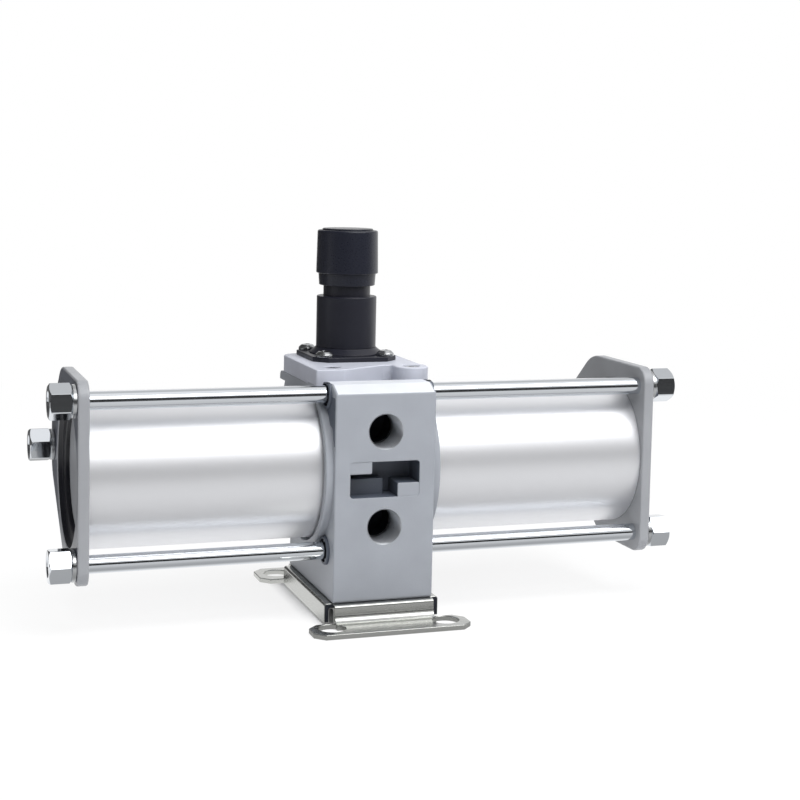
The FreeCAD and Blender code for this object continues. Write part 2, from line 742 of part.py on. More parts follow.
def spool_ring_spots():
    """Middle of each sealing ring along the spool."""
    gap = 2 * SPOOL_HALF / 4
    return [-1.5 * gap, -0.5 * gap, 0.5 * gap, 1.5 * gap]


def switching_spool():
    """Spool with waists between its lands and a push rod at each end."""
    spool = rod("x", SPOOL_R, -SPOOL_HALF, SPOOL_HALF, VALVE_Y, CYL_Z)
    spool = spool.fuse(rod("x", PUSH_R, -PUSH_END, PUSH_END, VALVE_Y, CYL_Z))
    cuts = []
    for middle in (-SPOOL_HALF / 2, 0, SPOOL_HALF / 2):
        start = middle - SPOOL_GROOVE_W / 2
        cuts.append(ring("x", SPOOL_GROOVE_R, SPOOL_R + 1, start, start + SPOOL_GROOVE_W, VALVE_Y, CYL_Z))
    for middle in spool_ring_spots():
        start = middle - SPOOL_RING_W / 2
        inner = SPOOL_R - SPOOL_RING_DEPTH
        cuts.append(ring("x", inner, SPOOL_R + 1, start, start + SPOOL_RING_W, VALVE_Y, CYL_Z))
    return spool.cut(cuts)


def spool_rings():
    """Sealing rings of the spool."""
    rings = []
    for middle in spool_ring_spots():
        start = middle - SPOOL_RING_W / 2
        rings.append(ring("x", SPOOL_R - SPOOL_RING_DEPTH, SPOOL_R, start, start + SPOOL_RING_W,
                          VALVE_Y, CYL_Z))
    return group(rings)


def check_cages():
    """Cages that hold the inlet poppets, with three flow holes each."""
    y, z = check_spots()[0]
    start = TUBE_SEAT_X - CHECK_CAGE_T
    cage = ring("x", CHECK_STEM_R + RUN_GAP, CHECK_R, start, TUBE_SEAT_X, y, z)
    mean = (CHECK_STEM_R + CHECK_R) / 2
    for i in range(3):
        angle = math.radians(120 * i)
        hole = rod("x", CHECK_FLOW_R, start - 1, TUBE_SEAT_X + 1,
                   y + mean * math.cos(angle), z + mean * math.sin(angle))
        cage = cage.cut(hole)
    return group([cage, mirror_x(cage)])


def check_seats():
    """Seats of the outlet check valves."""
    y, z = check_spots()[1]
    seat = ring("x", DRILL_R, CHECK_R, TUBE_SEAT_X - CHECK_CAGE_T, TUBE_SEAT_X, y, z)
    return group([seat, mirror_x(seat)])


def inlet_poppet(side):
    """Poppet that opens towards the cylinder."""
    y, z = check_spots()[0]
    start = CHECK_SEAT_X + CHECK_REST_GAP
    disc = rod("x", CHECK_DISC_R, start, start + CHECK_DISC_T, y, z)
    return on_side(disc.fuse(rod("x", CHECK_STEM_R, start, TUBE_SEAT_X - CHECK_LIFT, y, z)), side)


def outlet_poppet(side):
    """Poppet that opens away from the cylinder."""
    y, z = check_spots()[1]
    end = TUBE_SEAT_X - CHECK_CAGE_T - CHECK_REST_GAP
    disc = rod("x", CHECK_DISC_R, end - CHECK_DISC_T, end, y, z)
    return on_side(disc.fuse(rod("x", CHECK_STEM_R, CHECK_SEAT_X - CHECK_STEM_TAIL, end, y, z)), side)


def block_screw_spots():
    """Two screws in the ears of the governor block."""
    return ((-EAR_SCREW_X, EAR_SCREW_Y), (EAR_SCREW_X, EAR_SCREW_Y))


def block_screw_seat():
    """Height of the seat under a block screw's head."""
    return BLOCK_TOP - BLOCK_HEAD_H - BLOCK_HEAD_SUNK


def governor_block():
    """Governor block with a square ear at the left and a round ear at the right."""
    main = slab_z([(-BLOCK_HALF_X, BLOCK_FRONT, 0), (BLOCK_HALF_X, BLOCK_FRONT, 0),
                   (BLOCK_HALF_X, BLOCK_BACK, BLOCK_CORNER), (-BLOCK_HALF_X, BLOCK_BACK, BLOCK_CORNER)],
                  BLOCK_LOW, BLOCK_TOP)
    tip = BLOCK_FRONT - EAR_REACH
    left = slab_z([(-BLOCK_HALF_X, BLOCK_FRONT + 1, 0), (-BLOCK_HALF_X, tip, 1.0),
                   (-BLOCK_HALF_X + EAR_TIP_W, tip, 2.0), (-BLOCK_HALF_X + EAR_ROOT_W, BLOCK_FRONT + 1, 0)],
                  BODY_TOP, BLOCK_TOP)
    ear_x, ear_y = BLOCK_HALF_X - EAR_R, tip + EAR_R
    right = rod("z", EAR_R, BODY_TOP, BLOCK_TOP, ear_x, ear_y)
    web = box(ear_x - EAR_R, BLOCK_HALF_X, ear_y, BLOCK_FRONT + 1, BODY_TOP, BLOCK_TOP)
    block = main.fuse([left, right, web])
    plate_low = BLOCK_TOP - DIAPHRAGM_T - PLATE_T - VALVE_TRAVEL - PLATE_UNDER
    cuts = [
        rod("z", DIAPHRAGM_R, BLOCK_TOP - DIAPHRAGM_T, BLOCK_TOP + 1, 0, KNOB_Y),
        rod("z", PLATE_R + PLATE_ROOM, plate_low, BLOCK_TOP, 0, KNOB_Y),
        rod("z", STEM_R + RUN_GAP, BLOCK_LOW - 1, BLOCK_TOP, 0, KNOB_Y),
    ]
    for x, y in block_screw_spots():
        cuts.append(rod("z", BLOCK_SCREW_R + SCREW_GAP, BLOCK_LOW - 1, BLOCK_TOP + 1, x, y))
        cuts.append(rod("z", BLOCK_HEAD_R + HEAD_GAP, block_screw_seat(), BLOCK_TOP + 1, x, y))
    for x, y in flange_screw_spots():
        cuts.append(rod("z", PAN_SHANK_R + SCREW_GAP, BLOCK_LOW - 1, BLOCK_TOP + 1, x, y))
    return block.cut(cuts)


def block_gasket():
    """Gasket between the body and the governor block."""
    gasket = slab_z(rectangle(-HALF, HALF, BLOCK_FRONT, BLOCK_BACK - 2 * BODY_EDGE, 0), BODY_REAR_TOP, BLOCK_LOW)
    cuts = [rod("z", PILOT_R, BODY_REAR_TOP - 1, BLOCK_LOW + 1, 0, KNOB_Y)]
    for x, y in flange_screw_spots():
        cuts.append(rod("z", PAN_SHANK_R + SCREW_GAP, BODY_REAR_TOP - 1, BLOCK_LOW + 1, x, y))
    return gasket.cut(cuts)


def socket_screw(x, y, head_low, length, r, head_r, head_h):
    """Socket head cap screw standing upright."""
    screw = rod("z", head_r, head_low, head_low + head_h, x, y)
    screw = screw.fuse(rod("z", r, head_low - length, head_low, x, y))
    return screw.cut(hexagon("z", SOCKET_AF, head_low + head_h / 2, head_low + head_h + 1, x, y))


def block_screws():
    """Cap screws sunk in the governor block."""
    return group([socket_screw(x, y, block_screw_seat(), BLOCK_SCREW_L, BLOCK_SCREW_R, BLOCK_HEAD_R, BLOCK_HEAD_H)
                  for x, y in block_screw_spots()])


def valve_seat():
    """Seat ring pressed into the pilot bore under the gasket."""
    return ring("z", SEAT_HOLE_R, PILOT_R, BODY_REAR_TOP - SEAT_T, BODY_REAR_TOP, 0, KNOB_Y)


def valve_stem():
    """Governor valve: disc under the seat and a stem up to the diaphragm plate."""
    disc_top = BODY_REAR_TOP - SEAT_T - CHECK_REST_GAP
    stem_top = BLOCK_TOP - DIAPHRAGM_T - PLATE_T
    disc = rod("z", VALVE_DISC_R, disc_top - VALVE_DISC_T, disc_top, 0, KNOB_Y)
    return disc.fuse(rod("z", STEM_R, disc_top, stem_top, 0, KNOB_Y))


def helix_spring(r, wire, low, high, turns):
    """Coil spring of a mean radius: a flat-sided wire stepped along a helix, with closed ends."""
    count = turns * SPRING_STEPS
    climb = (high - low - wire) / count
    rows = []
    for i in range(count + 1):
        turn = 2 * math.pi * i / SPRING_STEPS
        middle = low + wire / 2 + climb * i
        row = []
        for j in range(SPRING_SIDES):
            angle = 2 * math.pi * j / SPRING_SIDES
            reach = r + wire / 2 * math.cos(angle)
            row.append(V(reach * math.cos(turn), KNOB_Y + reach * math.sin(turn),
                         middle + wire / 2 * math.sin(angle)))
        rows.append(row)
    faces = [flat_face(rows[0]), flat_face(rows[-1])]
    for first, second in zip(rows, rows[1:]):
        for j in range(SPRING_SIDES):
            k = (j + 1) % SPRING_SIDES
            faces.append(flat_face([first[j], first[k], second[k]]))
            faces.append(flat_face([first[j], second[k], second[j]]))
    spring = Part.makeSolid(Part.makeShell(faces))
    return spring if spring.Volume > 0 else spring.reversed()


def valve_spring():
    """Small spring that lifts the governor valve on its seat."""
    high = BODY_REAR_TOP - SEAT_T - CHECK_REST_GAP - VALVE_DISC_T
    return helix_spring(VALVE_SPRING_R, VALVE_SPRING_WIRE, PILOT_BOTTOM, high, VALVE_SPRING_TURNS)


def diaphragm():
    """Rubber diaphragm clamped under the bonnet flange."""
    return rod("z", DIAPHRAGM_R, BLOCK_TOP - DIAPHRAGM_T, BLOCK_TOP, 0, KNOB_Y)


def diaphragm_plate():
    """Plate under the diaphragm that pushes the stem."""
    top = BLOCK_TOP - DIAPHRAGM_T
    return rod("z", PLATE_R, top - PLATE_T, top, 0, KNOB_Y)


def spring_plate():
    """Plate on the diaphragm that carries the setting spring."""
    plate = rod("z", PLATE_R, BLOCK_TOP, BLOCK_TOP + PLATE_T, 0, KNOB_Y)
    return plate.fuse(rod("z", SPRING_CENTRE_R, BLOCK_TOP, BLOCK_TOP + 2 * PLATE_T, 0, KNOB_Y))


def flange_screw_spots():
    """Four screws of the bonnet flange."""
    return [(a * FLANGE_SCREW, KNOB_Y + b * FLANGE_SCREW) for a in (-1, 1) for b in (-1, 1)]


def bonnet_flange():
    """Square flange with cut corners and a low cone in the middle."""
    h, c = FLANGE_HALF, FLANGE_CHAMFER
    y0, y1 = KNOB_Y - h, KNOB_Y + h
    outline = [(-h + c, y0, 1), (h - c, y0, 1), (h, y0 + c, 1), (h, y1 - c, 1),
               (h - c, y1, 1), (-h + c, y1, 1), (-h, y1 - c, 1), (-h, y0 + c, 1)]
    flange = slab_z(outline, BLOCK_TOP, FLANGE_TOP)
    flange = flange.fuse(cone("z", FLANGE_CONE_R, BONNET_R + HEAD_GAP, FLANGE_TOP, BONNET_LOW, 0, KNOB_Y))
    cuts = [rod("z", BONNET_R - BONNET_WALL, BLOCK_TOP - 1, BONNET_LOW + 1, 0, KNOB_Y)]
    for x, y in flange_screw_spots():
        cuts.append(rod("z", PAN_SHANK_R + SCREW_GAP, BLOCK_TOP - 1, FLANGE_TOP, x, y))
        cuts.append(rod("z", PAN_R + HEAD_GAP, FLANGE_TOP, BONNET_LOW + 1, x, y))
    return flange.cut(cuts)


def flange_screws():
    """Pan head screws with a cross recess."""
    screws = []
    for x, y in flange_screw_spots():
        head = rod("z", PAN_R, FLANGE_TOP, FLANGE_TOP + PAN_H, x, y)
        top = FLANGE_TOP + PAN_H
        dome = PAN_R * PAN_DOME
        head = head.common(Part.makeSphere(dome, V(x, y, top - dome)))
        shank = rod("z", PAN_SHANK_R, FLANGE_TOP - PAN_SHANK_L, FLANGE_TOP, x, y)
        half, low = CROSS_WIDTH / 2, top - CROSS_DEPTH
        arm_a = box(x - CROSS_HALF, x + CROSS_HALF, y - half, y + half, low, top + 1)
        arm_b = box(x - half, x + half, y - CROSS_HALF, y + CROSS_HALF, low, top + 1)
        screws.append(head.fuse(shank).cut(arm_a.fuse(arm_b)))
    return group(screws)


def governor_bonnet():
    """Bonnet with its neck and the hole for the adjusting screw."""
    inner = BONNET_R - BONNET_WALL
    neck_in = NECK_R - NECK_WALL
    roof = BONNET_TOP - BONNET_ROOF
    return revolve_z([
        (BONNET_R, BONNET_LOW), (BONNET_R, BONNET_TOP - BONNET_EDGE), (BONNET_R - BONNET_EDGE, BONNET_TOP),
        (NECK_R, BONNET_TOP), (NECK_R, NECK_TOP - BONNET_EDGE), (NECK_R - BONNET_EDGE, NECK_TOP),
        (SCREW_R + RUN_GAP, NECK_TOP), (SCREW_R + RUN_GAP, NECK_TOP - NECK_ROOF),
        (neck_in, NECK_TOP - NECK_ROOF), (neck_in, roof), (inner, roof - 1), (inner, BONNET_LOW),
    ], 0, KNOB_Y)


def adjusting_screw():
    """Screw with a thrust collar under the neck's roof and a hexagon head for the knob."""
    collar_top = NECK_TOP - NECK_ROOF - SCREW_COLLAR_GAP
    head_low = NECK_TOP + SCREW_COLLAR_GAP
    screw = rod("z", SCREW_R, SCREW_LOW, head_low + 1, 0, KNOB_Y)
    collar = rod("z", SCREW_COLLAR_R, collar_top - SCREW_COLLAR_T, collar_top, 0, KNOB_Y)
    head = hexagon("z", SCREW_HEAD_AF, head_low, head_low + SCREW_HEAD_H, 0, KNOB_Y)
    return screw.fuse([collar, head])


def spring_seat():
    """Nut on the adjusting screw that presses the setting spring."""
    thread_r = SCREW_R + RUN_GAP
    seat = SEAT_NUT_TOP - SEAT_NUT_T
    boss = seat - SEAT_NUT_BOSS
    return revolve_z([
        (thread_r, boss), (SPRING_CENTRE_R, boss), (SPRING_CENTRE_R, seat),
        (SEAT_NUT_R, seat), (SEAT_NUT_R, SEAT_NUT_TOP), (thread_r, SEAT_NUT_TOP),
    ], 0, KNOB_Y)


def setting_spring():
    """Heavy spring between the spring plate and the spring seat."""
    return helix_spring(SPRING_R, SPRING_WIRE, BLOCK_TOP + PLATE_T, SEAT_NUT_TOP - SEAT_NUT_T, SPRING_TURNS)


def adjusting_knob():
    """Knob with a skirt, a grip with fine flutes and a hexagon socket inside."""
    grip = KNOB_LOW + KNOB_SKIRT_H
    top = grip + KNOB_H
    bore_top = NECK_TOP + KNOB_LIFT + KNOB_ROOM
    outer = revolve_z([
        (0, KNOB_LOW), (KNOB_SKIRT_R - KNOB_SKIRT_TAPER, KNOB_LOW), (KNOB_SKIRT_R, grip),
        (KNOB_R - KNOB_EDGE, grip), (KNOB_R, grip + KNOB_EDGE), (KNOB_TOP_R, top - KNOB_EDGE),
        (KNOB_TOP_R - KNOB_EDGE, top), (0, top),
    ], 0, KNOB_Y)
    socket_top = NECK_TOP + SCREW_COLLAR_GAP + SCREW_HEAD_H + KNOB_LIFT + KNOB_ROOM
    cuts = [
        rod("z", KNOB_BORE_R, KNOB_LOW - 1, bore_top, 0, KNOB_Y),
        hexagon("z", SCREW_HEAD_AF + 2 * HEX_GAP, bore_top - 1, socket_top, 0, KNOB_Y),
        rod("z", CAP_R, top - CAP_T + CAP_PROUD, top + 1, 0, KNOB_Y),
    ]
    reach = KNOB_R + KNOB_FLUTE_R - KNOB_FLUTE_DEPTH
    for i in range(KNOB_FLUTES):
        angle = 2 * math.pi * i / KNOB_FLUTES
        cuts.append(rod("z", KNOB_FLUTE_R, grip + KNOB_FLUTE_END, top - KNOB_FLUTE_END,
                        reach * math.cos(angle), KNOB_Y + reach * math.sin(angle)))
    return outer.cut(cuts)


def knob_cap():
    """Disc in the top of the knob."""
    top = KNOB_TOP + CAP_PROUD
    return revolve_z([(0, top - CAP_T), (CAP_R, top - CAP_T), (CAP_R, top - CAP_EDGE),
                      (CAP_R - CAP_EDGE, top), (0, top)], 0, KNOB_Y)


def bracket_walls():
    """Y of the outer faces of the bracket's front and rear walls."""
    return BODY_FRONT - SHEET_T - WALL_GAP, BODY_BACK + SHEET_T


def bracket_profile():
    """Side view of the folded sheet, from foot to foot over the top."""
    front, back = bracket_walls()
    t, top = SHEET_T, BODY_BOTTOM
    r = BEND_R
    return [
        (-FOOT_HALF_Y, 0, 0), (front + t, 0, r), (front + t, top - t, r - t), (back - t, top - t, r - t),
        (back - t, 0, r), (FOOT_HALF_Y, 0, 0), (FOOT_HALF_Y, t, 0), (back, t, r - t),
        (back, top, r), (front, top, r), (front, t, r - t), (-FOOT_HALF_Y, t, 0),
    ]


def bracket_plan():
    """Top view of the flat pattern: two wide feet with cut corners and a narrower middle."""
    front, back = bracket_walls()
    k, w, m, y = FOOT_CHAMFER, FOOT_HALF_X, BRACKET_WALL_HALF, FOOT_HALF_Y
    front_in, back_in = front - FOOT_INSET, back + FOOT_INSET
    right = [(w - k, -y), (w, k - y), (w, front_in - k), (w - k, front_in), (m, front_in),
             (m, back_in), (w - k, back_in), (w, back_in + k), (w, y - k), (w - k, y)]
    left = [(-x, v) for x, v in reversed(right)]
    return [(x, v, 0) for x, v in right + left]


def mounting_bracket():
    """Pressed bracket: top plate, side lips and two feet with cut corners."""
    front, back = bracket_walls()
    t = SHEET_T
    folded = slab_x(bracket_profile(), -FOOT_HALF_X - 1, FOOT_HALF_X + 1)
    folded = folded.common(slab_z(bracket_plan(), -1, BODY_BOTTOM + 1))
    w, low, top = BRACKET_HALF_X, BRACKET_LIP_LOW, BODY_BOTTOM
    shell = [(-w, low, 0), (-w + t, low, 0), (-w + t, top - t, BEND_R - t), (w - t, top - t, BEND_R - t),
             (w - t, low, 0), (w, low, 0), (w, top, BEND_R), (-w, top, BEND_R)]
    lips = slab_y(shell, front + t + RELIEF, back - t - RELIEF)
    bracket = folded.fuse(lips)
    holes = []
    for sx in (-1, 1):
        for sy in (-1, 1):
            holes.append(rod("z", HOLE_R, -1, t + 1, sx * HOLE_PITCH_X / 2, sy * HOLE_PITCH_Y / 2))
    for x, y in base_screw_spots():
        holes.append(rod("z", BASE_SCREW_R + SCREW_GAP, 0, BODY_BOTTOM + 1, x, y))
    return bracket.cut(holes)


def base_screw_spots():
    """Four screws between the bracket and the body."""
    return [(s * BASE_SCREW_X, y) for s in (-1, 1) for y in (BASE_SCREW_FRONT, BASE_SCREW_BACK)]


def base_screw_top():
    """Upper end of a bracket screw."""
    return BODY_BOTTOM - SHEET_T + BASE_SCREW_L


def bracket_screws():
    """Button head screws from below."""
    low = BODY_BOTTOM - SHEET_T
    screws = []
    for x, y in base_screw_spots():
        head = cone("z", BASE_HEAD_R - 1, BASE_HEAD_R, low - BASE_HEAD_H, low, x, y)
        screw = head.fuse(rod("z", BASE_SCREW_R, low, base_screw_top(), x, y))
        screws.append(screw.cut(hexagon("z", SOCKET_AF, low - BASE_HEAD_H - 1, low - 1, x, y)))
    return group(screws)


def all_nodes():
    """Every node of the booster by name."""
    nodes = {
        "center_body": center_body(),
        "gauge_port_plug": gauge_port_plug(),
        "tube_gaskets": tube_gaskets(),
        "piston_rod": piston_rod(),
        "switching_sleeve": switching_sleeve(),
        "valve_retainers": valve_retainers(),
        "switching_spool": switching_spool(),
        "spool_rings": spool_rings(),
        "check_cages": check_cages(),
        "check_seats": check_seats(),
        "governor_block": governor_block(),
        "block_gasket": block_gasket(),
        "block_screws": block_screws(),
        "valve_seat": valve_seat(),
        "valve_stem": valve_stem(),
        "valve_spring": valve_spring(),
        "diaphragm": diaphragm(),
        "diaphragm_plate": diaphragm_plate(),
        "spring_plate": spring_plate(),
        "bonnet_flange": bonnet_flange(),
        "flange_screws": flange_screws(),
        "governor_bonnet": governor_bonnet(),
        "adjusting_screw": adjusting_screw(),
        "spring_seat": spring_seat(),
        "setting_spring": setting_spring(),
        "adjusting_knob": adjusting_knob(),
        "knob_cap": knob_cap(),
        "mounting_bracket": mounting_bracket(),
        "bracket_screws": bracket_screws(),
    }
    makers = (("cylinder_tube", cylinder_tube), ("end_cover", end_cover), ("cover_ring", cover_ring),
              ("tie_rods", tie_rods), ("tie_rod_nuts", tie_rod_nuts), ("lock_washers", lock_washers),
              ("piston", piston), ("piston_seal", piston_seal), ("wear_rings", wear_rings),
              ("piston_nut", piston_nut), ("rod_bush", rod_bush), ("rod_seal", rod_seal),
              ("inlet_poppet", inlet_poppet), ("outlet_poppet", outlet_poppet))
    for name, make in makers:
        for word, side in SIDES:
            nodes[word + "_" + name] = make(side)
    return nodes


def main():
    """Write one STEP file for each node."""
    os.makedirs("parts", exist_ok=True)
    for name, shape in all_nodes().items():
        shape.exportStep("parts/" + name + ".step")
        print(name, len(shape.Solids), "solids, volume", round(shape.Volume), "valid", shape.isValid())


main()
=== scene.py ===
"""Looks of an air pressure booster: surfaces, finishes, stage, lamps and camera around its solid model.

Shapes are worked out in millimetres. +X runs along the tubes, the ports face -Y and +Z is up.
"""
import json
import math

import bmesh
import bpy
import numpy as np
from bpy.props import FloatProperty, FloatVectorProperty, PointerProperty
from mathutils import Matrix, Vector
from mathutils.geometry import tessellate_polygon


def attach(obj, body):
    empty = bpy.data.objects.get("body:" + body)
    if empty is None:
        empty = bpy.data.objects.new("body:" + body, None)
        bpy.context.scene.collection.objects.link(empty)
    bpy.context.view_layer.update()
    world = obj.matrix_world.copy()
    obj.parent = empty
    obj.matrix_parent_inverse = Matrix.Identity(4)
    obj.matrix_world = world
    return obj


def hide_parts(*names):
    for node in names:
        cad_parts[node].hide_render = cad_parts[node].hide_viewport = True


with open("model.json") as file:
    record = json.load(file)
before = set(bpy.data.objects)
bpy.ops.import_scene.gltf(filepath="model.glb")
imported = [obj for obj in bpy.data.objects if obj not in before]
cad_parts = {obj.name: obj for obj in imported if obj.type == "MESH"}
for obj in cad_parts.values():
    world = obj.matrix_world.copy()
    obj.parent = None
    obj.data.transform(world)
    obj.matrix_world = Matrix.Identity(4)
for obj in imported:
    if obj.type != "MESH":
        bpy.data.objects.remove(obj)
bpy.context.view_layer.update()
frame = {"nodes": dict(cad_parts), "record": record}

bl_info = {
    "name": "Air pressure booster",
    "version": (1, 0, 0),
    "blender": (4, 5, 0),
    "location": "View3D > Sidebar > Booster",
    "description": "Builds the surfaces, finishes and stage of an air pressure booster",
    "category": "Object",
}

MM = 0.001
SIDES = (("left", -1), ("right", 1))
WHITE = (1.0, 1.0, 1.0, 1.0)

# Tubes and tie rods: their axes in Y and Z, and what fits inside a tube
TUBE_AXIS = (2.5, 67.0)
TUBE_START = 21.0
TUBE_WALL = 3.5
TUBE_INSIDE_R = 31.4
ROD_SPOTS = ((-26.7, 102.4), (-26.7, 31.6), (48.6, 71.0))
ROD_START = 9.0
ROD_END = 146.2

# Centre body: half width in X, faces in Y, heights in Z
BODY_HALF = 23.5
BODY_FRONT = -39.0
BODY_BACK = 35.0
BODY_REAR = 57.5
BODY_LOW = 10.0
DECK = 104.0
LEDGE = 105.3
RIB_TOP = 107.4
RIB_FRONT = -31.9
RIB_BACK = -21.5
SHOULDER_SLOPE = 0.479
SIDE_ROOT = 23.0
SEAT_X = 20.4

# Ports and pocket in the front
PORTS_Z = (86.7, 43.7)
PORT_THREAD = 15.0
PORT_WALL_END = -22.5
PORT_BOTTOM = -13.0
POCKET_HALF = 16.2
POCKET_LOW = 57.1
POCKET_HIGH = 73.2
POCKET_FLOOR = -25.0

# Collars, side pads, coves and rod bosses on the body's sides
COLLAR_X = 27.0
COLLAR_GAP = 1.3
SIDE_PAD_X = 27.2
SIDE_PAD_LOW = 100.2
COVE_X = 23.65
BOSS_X = 24.8
BOSS_R = 6.5
COUNTERBORE_R = 5.3

# End covers
COVER_IN = 130.0
COVER_OUT = 135.0
COVER_FRONT = -34.5
COVER_LOW = 22.5
COVER_HIGH = 111.5
COVER_BEVEL = 0.8
DISH_FLOOR = 126.2
SPIGOT_END = 122.0

# Nuts and washers; a nut's corner and round face are shares of its flat's distance
NUT_IN = 137.0
NUT_OUT = 146.6
NUT_FLAT = 7.0
NUT_CORNER = 1.145
NUT_FACE = 0.98
NUT_TURNS = (0.0, 25.0, 12.0)
WASHER_R = 7.3

# Governor block and its screws
BLOCK_HALF = 27.2
BLOCK_FRONT = -6.0
BLOCK_BACK = 44.0
BLOCK_TOP = 112.4
BLOCK_SCREWS = ((-17.0, -10.5), (20.6, -12.0))
SCREW_HOLE_R = 4.0
SCREW_HOLE_DEPTH = 4.5
SOCKET_FLAT = 1.5

# Bonnet, flange and knob
KNOB_AXIS = (0.0, 24.5)
FLANGE_HALF = 20.5
FLANGE_CUT = 6.0
FLANGE_TOP = 114.7
FLANGE_SCREW = 15.0
BONNET_LOW = 117.7
BONNET_TOP = 142.1
NECK_R = 11.2
NECK_TOP = 158.2
SCREW_BORE_R = 5.1
KNOB_LOW = 147.3
KNOB_BORE_R = 11.9
KNOB_BORE_TOP = 162.6
GRIP_LOW = 153.1
GRIP_TOP = 173.5
CAP_SEAT = 172.7
CAP_R = 12.1
CAP_TOP = 174.3

# Mounting bracket
SHEET_T = 2.3
BRACKET_FRONT = -42.0
BRACKET_BACK = 37.3
BRACKET_TOP = 10.0
BRACKET_HALF = 23.3
BEND_IN = 0.7
BEND_OUT = 1.4
BEND_LOW = 3.6
LIP_HALF = 26.9
LIP_LOW = 1.3
LIP_SET_BACK = 4.5
FOOT_IN = 4.0
FOOT_HALF = 36.5
FOOT_EDGE = 59.0
FOOT_CUT = 4.5
FOOT_HOLE_R = 6.0
FOOT_HOLES = (26.5, 49.0)

# Studio levels by the angle about the X axis: 0 at the horizon in front, a half overhead, 1 at the one behind
WORLD_STOPS = ((0.0, 0.5), (0.008, 0.02), (0.09, 0.02), (0.105, 0.62), (0.18, 0.8), (0.27, 1.0), (0.54, 1.0),
               (0.57, 0.66), (0.79, 0.64), (0.86, 0.95))
# Levels by the direction's X: what reflections see at the left, and how far the light from there is dimmed
WORLD_MIRRORED = ((0.48, 0.1), (0.53, 1.0))
WORLD_SHADE = ((0.3, 0.8), (0.6, 1.0))
# Floor shown to the camera, by the metres outside the bracket
FOOTPRINT = (0.0255, 0.0415, 0.0)
FLOOR_SHOWN = ((0.0, 0.0), (0.006, 0.82), (0.25, 0.93), (0.7, 1.0))
# Floor in reflections: by Y over the last metre in front, by X at the left, by Y behind
FLOOR_AHEAD = ((0.42, 0.02), (0.56, 0.72), (0.82, 0.72), (0.91, 0.64), (0.945, 0.46), (0.963, 0.42),
               (0.974, 0.7), (0.988, 1.0))
FLOOR_LEFT = ((0.3, 0.1), (0.6, 1.0))
FLOOR_BEHIND = ((0.2, 1.0), (0.5, 0.0))
FLOOR_GLOSSY = 0.97
FLOOR_REACH = 60.0
FLOOR_Z = -0.0001
# Lamps: name, place, width and height in metres, power in watts, whether reflections show it
LAMPS = (("lamp_top", (0.15, -0.55, 1.5), 1.4, 0.8, 18.0, False),
         ("lamp_near", (0.18, -0.42, 0.54), 0.7, 0.3, 2.2, True))
LAMP_AIM = (0.0, 0.0, 0.07)
# Camera: yaw, pitch and roll in degrees, place in metres
CAMERA_TURN = (19.0425, -4.8758, 1.2095)
CAMERA_PLACE = (-0.22604, -0.70880, 0.20589)
CAMERA_SHIFT = -0.125


def linear(hex_colour):
    """Turns an sRGB hex colour such as a0a4aa into the linear values that shaders use."""
    srgb = [int(hex_colour[i:i + 2], 16) / 255 for i in (0, 2, 4)]
    return [c / 12.92 if c <= 0.04045 else ((c + 0.055) / 1.055) ** 2.4 for c in srgb] + [1.0]


def add_node(tree, kind, inputs=None, stops=(), **settings):
    """Adds one shader node. Inputs go by socket name or number: an output is linked, a value is set. Stops
    are (position, grey level or colour) pairs of a colour ramp, settings the node's attributes."""
    node = tree.nodes.new("ShaderNode" + kind)
    for key, value in settings.items():
        setattr(node, key, value)
    for socket, value in (inputs or {}).items():
        if isinstance(value, bpy.types.NodeSocket):
            tree.links.new(value, node.inputs[socket])
        else:
            node.inputs[socket].default_value = value
    for i, (position, level) in enumerate(stops):
        elements = node.color_ramp.elements
        element = elements[i] if i < 2 else elements.new(position)
        element.position = position
        element.color = (level, level, level, 1.0) if isinstance(level, float) else level
    return node


def new_material(name, **values):
    """Material with one Principled shader whose sockets take the given values."""
    material = bpy.data.materials.new(name)
    material.use_nodes = True
    tree = material.node_tree
    shader = tree.nodes["Principled BSDF"]
    for key, value in values.items():
        shader.inputs[key.replace("_", " ")].default_value = value
    return material, tree, shader


def noise_pattern(tree, scale, detail):
    """Noise on object coordinates; the scale is in features per millimetre along X, Y and Z."""
    place = add_node(tree, "TexCoord").outputs["Object"]
    spot = add_node(tree, "Mapping", {"Vector": place, "Scale": [s / MM for s in scale]})
    inputs = {"Vector": spot.outputs["Vector"], "Scale": 1.0, "Detail": detail}
    return add_node(tree, "TexNoise", inputs).outputs["Fac"]


def vary(tree, socket, pattern, low, high):
    """Lets a pattern move a shader's socket between low and high."""
    ramp = add_node(tree, "ValToRGB", {"Fac": pattern}, ((0.3, low), (0.7, high)))
    tree.links.new(ramp.outputs["Color"], socket)


def roughen(tree, shader, pattern, depth):
    """Bump of a depth in metres on the shader's normal."""
    bump = add_node(tree, "Bump", {"Height": pattern, "Distance": depth, "Strength": 1.0})
    tree.links.new(bump.outputs["Normal"], shader.inputs["Normal"])


def levels(tree, value, low, high, stops):
    """Grey level that follows a value between low and high; stops are (share, level) pairs."""
    share = add_node(tree, "MapRange", {"Value": value, "From Min": low, "From Max": high})
    return add_node(tree, "ValToRGB", {"Fac": share.outputs["Result"]}, stops).outputs["Color"]


def calc(tree, operation, first, second):
    """Output of a math node with two inputs."""
    return add_node(tree, "Math", {0: first, 1: second}, operation=operation).outputs[0]


def blend(tree, factor, first, second):
    """Mix of two shader nodes by a factor."""
    return add_node(tree, "MixShader", {0: factor, 1: first.outputs[0], 2: second.outputs[0]})


